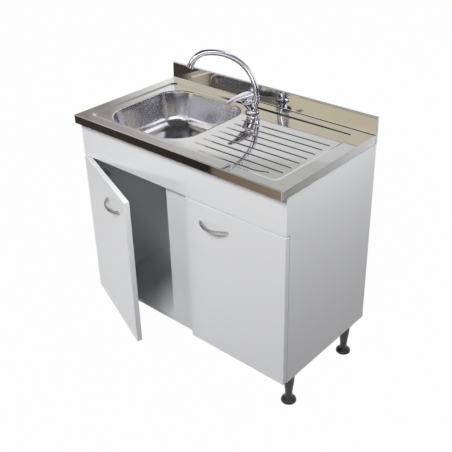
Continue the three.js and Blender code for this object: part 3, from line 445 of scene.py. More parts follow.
def ridgePath(index):  # place and heading along a ridge; the first one curls at its end
    if index:
        y = ridges["front"] + index * ridges["pitch"]
        skew = ridges["fan"] * (index - ridges["fanMiddle"])
        length = ridges["right"] - ridges["left"]
        return [(ridges["left"] + length * i / 8, y + skew * i / 8, 0) for i in range(9)]
    start = ridges["left"] + ridges["setback"]
    bend = start + ridges["straight"]
    path = [(start, ridges["front"], 0), (bend, ridges["front"], 0)]
    for i in range(1, 11):
        turn = math.radians(ridges["curl"] * i / 10)
        path.append((bend + ridges["curlRadius"] * math.sin(turn),
                     ridges["front"] + ridges["curlRadius"] * (1 - math.cos(turn)), turn))
    return path


def stadium(path, offset, steps=8):  # the line at that distance round a path
    left = [(x - offset * math.sin(h), y + offset * math.cos(h)) for x, y, h in path]
    right = [(x + offset * math.sin(h), y - offset * math.cos(h)) for x, y, h in path]
    (ax, ay, ah), (bx, by, bh) = path[0], path[-1]
    far = arc((bx, by), offset, math.degrees(bh) - 90, math.degrees(bh) + 90, steps)
    near = arc((ax, ay), offset, math.degrees(ah) + 90, math.degrees(ah) + 270, steps)
    return right[:-1] + far + left[::-1][1:-1] + near[:-1]


def rimLine(inset):  # the left, front and right edges, seen from above, ending at the upstand's fillet
    width, back = top["width"], top["upstandFoot"] - top["upstandFillet"]
    corner = top["corner"] - inset if inset < top["corner"] - 1 else 1
    guard = inset + corner + 1.5  # keeps the long sides flat up to their ends
    line = [(inset, back), (inset, back - 1.5), (inset, guard)]
    line += arc((inset + corner, inset + corner), corner, 180, 270, 6)
    line += [(guard, inset), (width - guard, inset)]
    line += arc((width - inset - corner, inset + corner), corner, 270, 360, 6)
    return line + [(width - inset, guard), (width - inset, back - 1.5), (width - inset, back)]


def topSheet():
    places, heights, edges = [], [], []

    def add(line, height, ring=True, share=1):  # share of the drainer's rise at that line
        first = len(places)
        places.extend(Vector(p) for p in line)
        heights.extend(height + share * (floorAt(p[0]) - trayFloor) for p in line)
        edges.extend((i, i + 1) for i in range(first, len(places) - 1))
        if ring:
            edges.append((len(places) - 1, first))

    roll, flat = top["roll"], 0.8  # a narrow flat strip beside each bend keeps the shading clean
    for i in range(6):
        angle = math.radians(18 * i)
        height = top["height"] - roll * (1 - math.sin(angle))
        add(rimLine(roll * (1 - math.cos(angle))), height, i == 0, 0)
    add(rimLine(roll + flat), top["height"], False, 0)
    add(rounded(top["tray"], -flat, top["trayCorner"] + flat, *traySteps), top["height"], True, 0)
    steps = 8
    for i in range(steps + 1):
        share = i / steps
        fall = share * share * (3 - 2 * share)
        add(rounded(top["tray"], top["traySlope"] * share, top["trayCorner"], *traySteps),
            top["height"] - top["trayDepth"] * fall, True, fall)
    add(rounded(top["tray"], top["traySlope"] + flat, top["trayCorner"], *traySteps), trayFloor)
    for index in range(ridges["count"] + 1):
        path = ridgePath(index)
        for offset, height in zip(ridges["offsets"], ridges["heights"]):
            add(stadium(path, offset), trayFloor + height)
        add([p[:2] for p in path], trayFloor + ridges["height"], ring=False)
    edge = top["bowlEdge"]
    add(rounded(top["bowl"], -edge, top["bowlCorner"] + edge, *bowlSteps, top["bowlTighter"]),
        trayFloor, True, 0)
    hole = top["tapHole"]
    add([(hole[0] + p.x, hole[1] + p.y) for p in circle(top["tapHoleRadius"], 0, 48)], trayFloor)

    points, _, faces, origin, _, _ = delaunay_2d_cdt(places, edges, [], 1, 1e-5, True)
    x0, x1, y0, y1 = top["bowl"]
    middle, half = bowlMiddle, ((x1 - x0) / 2, (y1 - y0) / 2)

    def inHole(face):
        x = sum(points[i].x for i in face) / len(face)
        y = sum(points[i].y for i in face) / len(face)
        if math.dist((x, y), hole) < top["tapHoleRadius"]:
            return True
        size = top["bowlCorner"] - (top["bowlTighter"] if x > middle[0] and y > middle[1] else 0)
        dx = max(abs(x - middle[0]) - (half[0] - size), 0)
        dy = max(abs(y - middle[1]) - (half[1] - size), 0)
        return math.hypot(dx, dy) < size + edge * 0.98

    sheet = [Vector((p.x, p.y, heights[origin[i][0]])) for i, p in enumerate(points)]
    return sheet, [tuple(face) for face in faces if not inHole(face)]


def skirt():  # outer face of the fold, down from the rolled rim
    line = rimLine(0)
    high, low = top["height"] - top["roll"], top["height"] - top["skirt"]
    rows = [high, high - 0.8, low + 1.8, low + 1, low]  # close rows keep the face between them flat
    points = [Vector((x, y, z)) for z in rows for x, y in line]
    count = len(line)
    faces = []
    for row in range(len(rows) - 1):
        for i in range(count - 1):
            a = row * count + i
            faces.append((a, a + count, a + count + 1, a + 1))
    return points, faces


def upstandShape():
    foot, lean, fillet = top["upstandFoot"], top["upstandLean"], top["upstandFillet"]
    crest = top["height"] + top["upstand"]
    low, back = top["height"] - top["skirt"], top["depth"]
    face, bend = foot + lean, top["upstandRound"]
    profile = [(foot - fillet, low), (foot - fillet, top["height"] - 1)]
    profile += [(foot - fillet + fillet * math.sin(a), top["height"] + fillet - fillet * math.cos(a))
                for a in (math.radians(15 * i) for i in range(7))]
    profile += [(foot + lean * 0.02, top["height"] + fillet + 1), (face - lean * 0.02, crest - bend - 1)]
    profile += arc((face + bend, crest - bend), bend, 180, 90, 8)
    profile += arc((back - bend, crest - bend), bend, 90, 0, 8)
    profile += [(back, low)]
    middle = Vector([sum(values) / len(profile) for values in zip(*profile)])
    loops = []
    width = top["width"]
    for x, shrink in ((0, 1.0), (0.3, 0.4), (1.0, 0), (2.0, 0),  # the ends are slightly rounded
                      (width - 2.0, 0), (width - 1.0, 0), (width - 0.3, 0.4), (width, 1.0)):
        loop = []
        for y, z in profile:
            away = Vector((y, z)) - middle
            loop.append((x, y - math.copysign(min(shrink, abs(away.x)), away.x),
                         z - (math.copysign(shrink, away.y) if z > top["height"] + fillet else 0)))
        loops.append(loop)
    return loft(loops)


def makeSinkTop():
    makePiece("sinkTop", [topSheet(), skirt()], ["sink_deck"], sharp=50, sheet=top["sheet"],
              outward=False)
    makePiece("upstand", [upstandShape()], ["sink_deck"], sharp=50)
    low = top["height"] - top["skirt"]
    hem = box(1, top["width"] - 1, 0.8, top["hem"], low, low + 1)
    makePiece("frontHem", [hem], ["sink_deck"], rounding=0.3)


# Bowl

bowl = {"roll": 4.5, "flare": 2.3, "lean": 14.4, "wall": 82.5, "base": 50, "floorSlope": 1.5,
        "seat": 720, "seatRadius": 58, "hole": 45}


def bowlProfile():  # depth below the tray, inset from the bowl's outline
    upright = 90 - bowl["lean"]
    points = []
    for i in range(9):
        angle = math.radians(upright * i / 8)
        points.append((bowl["roll"] * (1 - math.cos(angle)),
                       -bowl["flare"] + bowl["roll"] * math.sin(angle)))
    slope = math.tan(math.radians(bowl["lean"]))
    depth, inset = points[-1]
    for i in range(1, 5):
        there = depth + (bowl["wall"] - depth) * i / 4
        points.append((there, inset + slope * (there - depth)))
    depth, inset = points[-1]
    flat = math.radians(bowl["floorSlope"])
    start = math.radians(upright)
    for i in range(1, 17):
        angle = start + (flat - start) * i / 16
        points.append((depth + bowl["base"] * (math.cos(angle) - math.cos(start)),
                       inset + bowl["base"] * (math.sin(start) - math.sin(angle))))
    return points


def bowlShape():
    middle = bowlMiddle
    loops = []
    for depth, inset in bowlProfile():
        line = rounded(top["bowl"], inset, top["bowlCorner"] - inset, *bowlSteps, top["bowlTighter"])
        loops.append([Vector((x, y, trayFloor - depth)) for x, y in line])
    edge = loops[-1]
    angles = [math.atan2(p.y - middle[1], p.x - middle[0]) for p in edge]
    seatTop = bowl["seat"] + 3

    def seatRing(radius, height):
        return [Vector((middle[0] + radius * math.cos(a), middle[1] + radius * math.sin(a), height))
                for a in angles]

    rim = seatRing(bowl["seatRadius"] + 3, seatTop)
    for i in range(1, 7):
        loops.append([a.lerp(b, i / 7) for a, b in zip(edge, rim)])
    loops += [rim, seatRing(bowl["seatRadius"] + 1, seatTop - 1),
              seatRing(bowl["seatRadius"], bowl["seat"]), seatRing(bowl["hole"], bowl["seat"])]
    points, faces = loft(loops)
    return points, [tuple(reversed(face)) for face in faces[:-2]]  # both ends stay open


def makeBowl():
    makePiece("bowl", [bowlShape()], ["sink_bowl"], sharp=60, sheet=top["sheet"], outward=False,
              finish="drawn_steel")


makeSinkTop()
makeBowl()
print("sink top made")


# Waste, overflow and trap

waste = {
    "rim": 57.4, "rimThick": 1.2, "hole": 44.7, "cupDepth": 28, "gasket": 3, "bodyHeight": 78,
    "pipe": 16, "wall": 1.8, "nut": 27, "nutHeight": 26, "grips": 8, "grip": 2.2,
    "bottle": 33, "bottleWall": 2.5, "joint": 530, "foot": 460,
}


def atWaste(shape):
    return moved(shape, *bowlMiddle)


def makeWaste():
    seat, inner = bowl["seat"], waste["hole"] - waste["rimThick"]
    rimTop, foot = seat + waste["rimThick"], seat - waste["cupDepth"]
    cup = [(waste["rim"], seat), (waste["rim"], seat + 0.6)]
    cup += [(waste["rim"] - 2 + 2 * math.cos(a), seat + 0.6 + 0.6 * math.sin(a))
            for a in (math.radians(22.5 * i) for i in range(1, 5))]
    cup += [(inner + 3 - 3 * math.sin(a), rimTop - 3 * (1 - math.cos(a)))
            for a in (math.radians(15 * i) for i in range(7))]
    cup += [(inner, foot + 5), (inner - 1, foot + 2.5), (inner - 4, foot + waste["rimThick"]),
            (waste["pipe"], foot + waste["rimThick"]), (waste["pipe"], foot), (inner - 3, foot),
            (waste["hole"], foot + 4), (waste["hole"], seat)]
    makePiece("wasteCup", [atWaste(revolve(cup, 96))], ["waste_cup"], sharp=50)

    radius, low, lip = inner - 0.5, foot + 1.5, rimTop - 2
    basket = [(0, low), (radius * 0.66, low), (radius * 0.72, low + 0.5), (radius - 2.4, low + 8),
              (radius - 1.6, low + 12), (radius, lip), (radius - 1.2, lip), (radius - 2.8, low + 12.5),
              (radius - 3.5, low + 9), (radius * 0.7, low + 1.6), (radius * 0.64, low + 1.2),
              (5, low + 1.2), (3.6, low + 2.5), (3.4, lip - 8), (4.2, lip - 6), (7.2, lip - 4.6),
              (8, lip - 3), (7.4, lip - 0.9), (5, lip), (0, lip)]  # the knob comes last
    makePiece("strainerBasket", [atWaste(revolve(basket, 96))], ["strainer_basket"], sharp=50)

    outlet = seat - 1 - waste["gasket"] - waste["bodyHeight"]
    pipe, thin = waste["pipe"], waste["wall"]
    collar = outlet - 5.3
    inlet = [(pipe - thin, waste["foot"] + 30), (pipe, waste["foot"] + 30), (pipe, collar),
             (20, collar), (20, outlet - 0.3), (pipe - thin, outlet - 0.3)]
    makePiece("trapInlet", [atWaste(revolve(inlet))], ["trap_inlet"])
    nutFoot, nutTop = collar - 4, collar - 4 + waste["nutHeight"]
    rings = []
    for radius, height in ((pipe + 0.4, nutFoot), (waste["nut"] - 2, nutFoot), (waste["nut"], nutFoot + 2),
                           (waste["nut"], nutTop - 2), (waste["nut"] - 2, nutTop), (20.9, nutTop),
                           (20.9, collar - 0.3), (pipe + 0.4, collar - 0.3)):
        loop = circle(radius, height, 96)
        if radius > waste["nut"] - 3:  # grips pressed into the outside
            for i, p in enumerate(loop):
                turn = math.radians(i * 3.75 * waste["grips"])
                dent = waste["grip"] * max(0, math.cos(turn)) ** 3
                loop[i] = Vector((p.x * (radius - dent) / radius, p.y * (radius - dent) / radius, p.z))
        rings.append(loop)
    makePiece("trapNut", [atWaste(loft(rings, closed=True))], ["trap_nut"])
    side, wall, joint, foot = waste["bottle"], waste["bottleWall"], waste["joint"], waste["foot"]
    inside = side - wall
    cup = [(0, foot), (side * 0.7, foot)] + arc((side * 0.7, foot + 9.9), 9.9, -70, 0, 6)
    cup += [(side, joint - 15), (side + 3.6, joint - 13), (side + 4, joint - 12.4),
            (side + 4, joint + 5.4), (side + 3.4, joint + 6), (side + 0.3, joint + 6),
            (side + 0.3, joint - 0.3), (inside, joint - 0.3), (inside, foot + 10),
            (inside - 3, foot + 5), (inside - 9, foot + wall), (0, foot + wall)]
    makePiece("trapCup", [atWaste(revolve(cup))], ["trap_cup"])


# Tap

tap = {
    "lean": 28, "forward": 20, "rise": 50, "pivot": 6, "ball": 11.5, "reach": 107, "bladeSquare": 0.85,
    "nut": 15, "nutLean": 14, "nutThick": 1.4, "nutPlace": (0, -23.6, 50.2),
    "bossBehind": 23, "boss": 11.6, "bossHeight": 46, "collar": 9, "socketFoot": 33,
    "tube": 9.3, "tubeWall": 1.5, "swell": 0.7,  # the tube is this much thicker past its first bend
    "heading": 237.5, "riser": 52, "bigBend": 173, "smallBend": 54, "turn": 66, "tip": 2,
    "aerator": 12.2, "aeratorLength": 12.5,
}
tapPlace = Matrix.Translation((*top["tapHole"], trayFloor))
leanTurn = Matrix.Rotation(math.radians(tap["lean"]), 4, "X")
headFace = Vector((0, -tap["forward"], tap["rise"]))
pivot = headFace + leanTurn @ Vector((0, 0, tap["pivot"]))


def ring(middle, wide, deep, lean, sides=72):  # an ellipse that leans towards the user
    loop = []
    for i in range(sides):
        a = 2 * math.pi * i / sides
        x, y = math.cos(a) * wide, math.sin(a) * deep
        loop.append(middle + Vector((x, y * math.cos(lean), y * math.sin(lean))))
    return loop


def tapBodyShapes():
    # each ring: place forward, height, half width, half depth, lean
    rings = ((0, 2, 23.4, 23.4, 0), (0, 2.8, 24, 24, 0), (0, 4.2, 23.8, 23.8, 0),
             (-0.2, 6.5, 21.8, 21.8, 0), (-0.7, 9.5, 19.6, 19.6, 2), (-2.4, 15, 18, 18, 6),
             (-6, 22, 17.4, 17.5, 12), (-11, 30, 18, 18.6, 17), (-16.5, 38, 19.3, 20.6, 18),
             (-21, 45, 20.4, 22.4, 15), (-23, 48.6, 20.6, 22.8, 13), (-23.6, 50, 19.6, 21.8, 12))
    loops = [ring(Vector((0, y, z)), wide, deep, math.radians(lean))
             for y, z, wide, deep, lean in rings]
    boss = []
    for share, height, r, tilt in ((0.2, 10, 11, -0.5), (0.7, 21, 11.4, -0.5),
                                   (0.97, 33, tap["boss"], -0.15), (1, 44.5, tap["boss"], 0),
                                   (1, tap["bossHeight"], tap["boss"] - 0.7, 0)):
        boss.append(ring(Vector((0, tap["bossBehind"] * share, height)), r, r, tilt))
    return [loft(loops), loft(boss)]


def leverShapes():  # a flat drop on a ball, from its round back to the tip
    ball = [(tap["ball"] * math.sin(a), -tap["ball"] * math.cos(a))
            for a in (math.pi * i / 16 for i in range(17))]
    ball[0], ball[-1] = (0, -tap["ball"]), (0, tap["ball"])
    # each section: share of the reach, half width, top, underside
    sections = ((-0.185, 5, 18.5, 16), (-0.16, 11, 21, 15), (-0.11, 16.5, 23.3, 11),
                (-0.04, 19.5, 24.5, 5.5), (0.05, 21, 25.3, 2.2), (0.14, 21, 25.6, 1.8),
                (0.24, 19.7, 25.6, 3.5), (0.36, 17.2, 25.4, 7.6), (0.5, 14.6, 25.2, 12.8),
                (0.65, 12.3, 23.6, 14.4), (0.8, 10.4, 21.8, 15), (0.92, 9, 20.2, 15),
                (0.975, 7.2, 19.2, 15.2), (1, 4, 18, 16))
    loops = []
    for share, wide, high, low in sections:
        loop = []
        for i in range(56):
            a = 2 * math.pi * i / 56
            x = squared(math.cos(a), tap["bladeSquare"]) * wide
            z = squared(math.sin(a), tap["bladeSquare"]) * (high - low) / 2
            loop.append(Vector((x, -tap["reach"] * share, (high + low) / 2 + z)))
        loops.append(loop)
    return [revolve(ball), loft(loops)]


def makeTap():
    makePiece("tapBody", [carried(s, tapPlace) for s in tapBodyShapes()], ["tap_body"], sharp=60,
              cast=(0.7, 10))
    leverPlace = tapPlace @ Matrix.Translation(pivot)
    makePiece("leverBlade", [carried(s, leverPlace) for s in leverShapes()], ["lever"], sharp=60,
              cast=(0.6, 8))
    bore, nutSide, nutThick = tap["ball"] + 1, tap["nut"], tap["nutThick"]
    nut = [(bore, 0), (nutSide - 0.5, 0), (nutSide, 0.5), (nutSide, nutThick - 0.8),
           (nutSide - 0.8, nutThick), (bore, nutThick)]
    nutTurn = Matrix.Rotation(math.radians(tap["nutLean"]), 4, "X")
    nutPlace = tapPlace @ Matrix.Translation(tap["nutPlace"]) @ nutTurn
    makePiece("cartridgeNut", [carried(revolve(nut), nutPlace)], ["cartridge_nut"])

    heading = math.radians(tap["heading"])
    spoutPlace = tapPlace @ Matrix.Translation((0, tap["bossBehind"], 0))
    spoutPlace = spoutPlace @ Matrix.Rotation(heading, 4, "Z")
    side, low, high = tap["boss"], tap["bossHeight"], tap["bossHeight"] + tap["collar"]
    collar = [(side - 0.6, low), (side, low + 0.6), (side, high - 1.5)]
    collar += arc((side - 1.5, high - 1.5), 1.5, 15, 90, 4)
    collar += [(tap["tube"] + 0.3, high), (tap["tube"] + 0.3, low)]
    makePiece("spoutCollar", [carried(revolve(collar), spoutPlace)], ["spout_collar"])

    crown = tap["riser"] + tap["bigBend"]
    path = [(0, tap["socketFoot"]), (0, low - 4)]
    path += arc((tap["bigBend"], tap["riser"]), tap["bigBend"], 180, 90, 40)
    path += arc((tap["bigBend"], crown - tap["smallBend"]), tap["smallBend"],
                90, 90 - tap["turn"], 20)[1:]
    turn = math.radians(tap["turn"])
    ahead = Vector((math.cos(turn), 0, -math.sin(turn)))
    line = [Vector((x, 0, z)) for x, z in path]
    tip = line[-1] + ahead * tap["tip"]
    line.append(tip)
    girth = [tap["tube"] + tap["swell"] * min(i / 30, 1) for i in range(len(line))]
    tube = pipe(line, Vector((0, 1, 0)), girth, [size - tap["tubeWall"] for size in girth])
    makePiece("spout", [carried(tube, spoutPlace)], ["spout"])
    radius, length = tap["aerator"], tap["aeratorLength"]
    nozzle = [(radius - 4, 0), (radius - 1.2, 0), (radius, 1.2), (radius, length - 4),
              (radius - 0.5, length - 3.6), (radius - 0.5, length - 3), (radius, length - 2.6),
              (radius, length - 0.8), (radius - 0.8, length), (radius - 4, length)]
    down = Matrix.Translation(tip + ahead * 0.3) @ Matrix.Rotation(math.pi / 2 + turn, 4, "Y")
    makePiece("aerator", [carried(revolve(nozzle), spoutPlace @ down)], ["aerator"])


# Handles and legs

handle = {"half": 63, "foot": 13, "projection": 27, "middle": 6.5, "height": 12, "square": 0.75,
          "fromTop": 68, "fromEdge": 119}
door = {"width": 401, "front": 24, "top": 686, "leftOpen": 22, "sideGap": 2}


def handleShape():  # a bow between two arcs, which meet at its feet
    outerHalf, innerHalf = handle["half"], handle["half"] - handle["foot"]
    reach, depth = handle["projection"], handle["projection"] - handle["middle"]
    outer = (outerHalf ** 2 + reach ** 2) / (2 * reach)
    inner = (innerHalf ** 2 + depth ** 2) / (2 * depth)
    outerSweep, innerSweep = math.asin(outerHalf / outer), math.asin(innerHalf / inner)
    loops = []
    for i in range(49):
        s = -1 + 2 * i / 48
        out = Vector((outer * math.sin(outerSweep * s),
                      outer - reach - outer * math.cos(outerSweep * s)))
        back = Vector((inner * math.sin(innerSweep * s),
                       inner - depth - inner * math.cos(innerSweep * s)))
        loop = []
        for k in range(32):
            a = 2 * math.pi * k / 32
            share = (1 + squared(math.cos(a), handle["square"])) / 2
            place = back.lerp(out, share)
            height = squared(math.sin(a), handle["square"]) * handle["height"] / 2
            loop.append(Vector((place.x, min(place.y, 0), height)))
        loops.append(loop)
    return loft(loops)


def makeHandles():
    height = door["top"] - handle["fromTop"]
    reach = door["width"] - handle["fromEdge"]
    left = Matrix.Translation((door["sideGap"], door["front"], height))
    left = left @ Matrix.Rotation(math.radians(-door["leftOpen"]), 4, "Z")
    left = left @ Matrix.Translation((reach, 0, 0))
    right = Matrix.Translation((top["width"] - door["sideGap"] - reach, door["front"], height))
    makePiece("leftHandle", [carried(handleShape(), left)], ["left_handle"])
    makePiece("rightHandle", [carried(handleShape(), right)], ["right_handle"])


leg = {"side": 32, "front": 97.5, "back": 429, "height": 130, "socket": 18, "plate": 29, "plateThick": 4,
       "top": 19, "neck": 12, "pad": 26.5, "padHeight": 23.5}


def makeLegs():
    side, neck, plate, rim = leg["top"], leg["neck"], leg["plate"], leg["pad"]
    high, low = leg["height"], leg["height"] - leg["socket"]
    underPlate = high - leg["plateThick"]
    socket = [(0, low), (side + 1, low), (side + 1.5, low + 0.5), (side + 2.5, underPlate - 2),
              (side + 4.5, underPlate), (plate - 0.8, underPlate), (plate, underPlate + 0.8),
              (plate, high), (0, high)]
    foot = leg["padHeight"] + 0.3
    barrel = [(0, foot), (neck - 0.6, foot), (neck, foot + 0.6), (neck + 0.6, foot + 14),
              (neck + 1.6, foot + 27), (neck + 3.2, foot + 40), (neck + 5.2, foot + 55),
              (side - 0.9, foot + 68), (side, low - 1), (side - 1, low), (0, low)]
    pad = [(0, 0), (rim - 1.5, 0), (rim - 0.3, 0.8), (rim, 2.5), (rim - 0.4, 5), (rim - 2.5, 9),
           (rim - 5, 11.6), (rim - 8, 13.6), (neck + 3.2, 15.2), (neck + 1.2, 17.4),
           (neck - 0.2, 20.5), (neck - 0.5, leg["padHeight"]), (0, leg["padHeight"])]
    for row, y in (("front", leg["front"]), ("rear", leg["back"])):
        for hand, x in (("left", leg["side"]), ("right", top["width"] - leg["side"])):
            name = f"{row}_{hand}"
            for part, profile in (("leg_socket", socket), ("leg", barrel), ("foot", pad)):
                makePiece(f"{name}.{part}", [moved(revolve(profile), x, y)], [f"{name}_{part}"])


# Nails

nail = {"radius": 2.6, "relief": 0.35, "pitch": 95, "inset": 8}


def headRow():  # flat heads in a row: a start, equal steps and a count
    tree = bpy.data.node_groups.new("headRow", "GeometryNodeTree")
    for name, kind in (("Count", "Int"), ("Start", "Vector"), ("Step", "Vector"),
                       ("Radius", "Float"), ("Relief", "Float"), ("Material", "Material")):
        tree.interface.new_socket(name, in_out="INPUT", socket_type=f"NodeSocket{kind}")
    tree.interface.new_socket("Geometry", in_out="OUTPUT", socket_type="NodeSocketGeometry")
    given = tree.nodes.new("NodeGroupInput").outputs
    line = addNode(tree, "GeometryNodeMeshLine", {
        "Count": given["Count"], "Start Location": given["Start"], "Offset": given["Step"],
    }).outputs[0]
    ball = addNode(tree, "GeometryNodeMeshUVSphere", {
        "Segments": 20, "Rings": 10, "Radius": given["Radius"],
    }).outputs[0]
    squash = addNode(tree, "ShaderNodeCombineXYZ", {
        "X": 1.0, "Y": given["Relief"], "Z": 1.0,
    }).outputs[0]
    head = addNode(tree, "GeometryNodeTransform", {"Geometry": ball, "Scale": squash}).outputs[0]
    heads = addNode(tree, "GeometryNodeInstanceOnPoints", {
        "Points": line, "Instance": head,
    }).outputs[0]
    real = addNode(tree, "GeometryNodeRealizeInstances", {"Geometry": heads}).outputs[0]
    done = addNode(tree, "GeometryNodeSetMaterial", {
        "Geometry": real, "Material": given["Material"],
    }).outputs[0]
    tree.links.new(done, tree.nodes.new("NodeGroupOutput").inputs[0])
    return tree


def makeNails():  # they hold the thin back on the cabinet
    low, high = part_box("back_panel")
    inset, pitch = nail["inset"] * mm, nail["pitch"] * mm
    left, right = low[0] + inset, high[0] - inset
    foot, head = low[2] + inset, high[2] - inset
    tall, wide = round((head - foot) / pitch), round((right - left) / pitch)
    up, along = (head - foot) / tall, (right - left) / wide
    rows = {
        "backNails.left": (tall + 1, (left, high[1], foot), (0, 0, up)),
        "backNails.right": (tall + 1, (right, high[1], foot), (0, 0, up)),
        "backNails.foot": (wide - 1, (left + along, high[1], foot), (along, 0, 0)),
    }
    tree = headRow()
    sockets = {item.name: item.identifier for item in tree.interface.items_tree
               if item.in_out == "INPUT"}
    for name, (count, start, step) in rows.items():
        row = bpy.data.objects.new(name, bpy.data.meshes.new(name))
        bpy.context.collection.objects.link(row)
        nodes = row.modifiers.new("heads", "NODES")
        nodes.node_group = tree
        given = {"Count": count, "Start": start, "Step": step, "Radius": nail["radius"] * mm,
                 "Relief": nail["relief"], "Material": finishes["nickel"]}
        for key, value in given.items():
            nodes[sockets[key]] = value
        settle(row)
        row.data.shade_smooth()
        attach(row, bodyOfNode["back_panel"])


makeWaste()
makeNails()
makeTap()
makeHandles()
makeLegs()
print("fittings made")


# Studio

studio = {
    "floorSize": 12.0, "floorGap": 0.0005, "floorWhite": 0.985, "worldSoft": 0.08,
    "wall": 5.0, "greyWall": 4.9, "ridgeWall": 5.1, "cameraWall": 5.2, "highWall": 5.3,  # how far off
    "cardStep": 10,  # degrees: a wide card is bent in steps no larger than this
    "overhead": 3.3, "overheadHalf": 1.6, "lowCards": 0.01,
}


def seenRays(tree):  # 1 for the camera, and for what metal and glass show
    path = addNode(tree, "ShaderNodeLightPath").outputs
    seen = addNode(tree, "ShaderNodeMath", {0: path["Is Camera Ray"], 1: path["Is Glossy Ray"]},
                   operation="MAXIMUM").outputs[0]
    return addNode(tree, "ShaderNodeMath", {0: seen, 1: path["Is Transmission Ray"]},
                   operation="MAXIMUM").outputs[0]


def makeFloor():
    bpy.ops.mesh.primitive_plane_add(size=studio["floorSize"], location=(0, 0, -studio["floorGap"]))
    floor = bpy.context.object
    floor.name = "floor"
    material, tree, shader = newMaterial("paleFloor", (0.07, 0.07, 0.075), 0, 0.9)
    glow = addNode(tree, "ShaderNodeEmission", {"Color": (1, 1, 1, 1), "Strength": 1.0}).outputs[0]
    share = addNode(tree, "ShaderNodeMath", {0: seenRays(tree), 1: studio["floorWhite"]},
                    operation="MULTIPLY").outputs[0]
    mix = addNode(tree, "ShaderNodeMixShader", {0: share, 1: shader.outputs[0], 2: glow})
    tree.links.new(mix.outputs[0], tree.nodes["Material Output"].inputs["Surface"])
    floor.data.materials.append(material)


def makeWorld():
    world = bpy.data.worlds.new("studio")
    bpy.context.scene.world = world
    world.use_nodes = True
    tree = world.node_tree
    strength = addNode(tree, "ShaderNodeMapRange", {
        "Value": seenRays(tree), "To Min": studio["worldSoft"], "To Max": 1.0,
    }).outputs["Result"]
    tree.nodes["Background"].inputs["Color"].default_value = (1, 1, 1, 1)
    tree.links.new(strength, tree.nodes["Background"].inputs["Strength"])


def softbox(name, place, target, size, power):
    data = bpy.data.lights.new(name, "AREA")
    data.shape = "RECTANGLE"
    data.size, data.size_y = size
    data.energy = power
    lamp = bpy.data.objects.new(name, data)
    bpy.context.collection.objects.link(lamp)
    lamp.location = Vector(place)
    lamp.rotation_euler = (Vector(target) - Vector(place)).to_track_quat("-Z", "Y").to_euler()
    lamp.visible_glossy = False


def card(name, corners, left, right=None, bend=None):  # only metal shows it; shaded from left to right
    right = right or left
    steps = 1
    if bend:
        steps = max(1, math.ceil(abs(corners[1][0] - corners[0][0]) / studio["cardStep"]))
    low = [Vector(corners[0]).lerp(Vector(corners[1]), i / steps) for i in range(steps + 1)]
    high = [Vector(corners[3]).lerp(Vector(corners[2]), i / steps) for i in range(steps + 1)]
    points = [bend(p) if bend else p for p in low + high]
    data = bpy.data.meshes.new(name)
    data.from_pydata(points, [], [(i, i + 1, steps + i + 2, steps + i + 1) for i in range(steps)])
    layer = data.uv_layers.new(name="UVMap")
    for loop, corner in zip(layer.data, data.loops):
        loop.uv = (corner.vertex_index % (steps + 1) / steps, corner.vertex_index // (steps + 1))
    material = bpy.data.materials.new(name)
    material.use_nodes = True
    tree = material.node_tree
    tree.nodes.remove(tree.nodes["Principled BSDF"])
    across = addNode(tree, "ShaderNodeSeparateXYZ", {
        "Vector": addNode(tree, "ShaderNodeTexCoord").outputs["UV"],
    }).outputs["X"]
    glow = addNode(tree, "ShaderNodeEmission", {"Color": blended(tree, across, left, right)})
    tree.links.new(glow.outputs[0], tree.nodes["Material Output"].inputs["Surface"])
    data.materials.append(material)
    panel = bpy.data.objects.new(name, data)
    bpy.context.collection.objects.link(panel)
    for rays in ("camera", "diffuse", "shadow", "transmission", "volume_scatter"):
        setattr(panel, f"visible_{rays}", False)


def toward(azimuth, elevation, distance):  # a place seen from the sink top in that direction
    a, e = math.radians(azimuth), math.radians(elevation)
    level = top["height"] * mm
    return Vector((-math.cos(a) * distance, math.sin(a) * distance, level + math.tan(e) * distance))


def skyCard(name, corners, left, right, distance):  # corners as azimuth and elevation
    card(name, corners, left, right, lambda p: toward(p.x, p.y, distance))


def wallCard(name, azimuths, elevations, left, right=None, distance=studio["wall"]):
    (a0, a1), (e0, e1) = azimuths, elevations
    skyCard(name, [(a0, e0), (a1, e0), (a1, e1), (a0, e1)], left, right, distance)


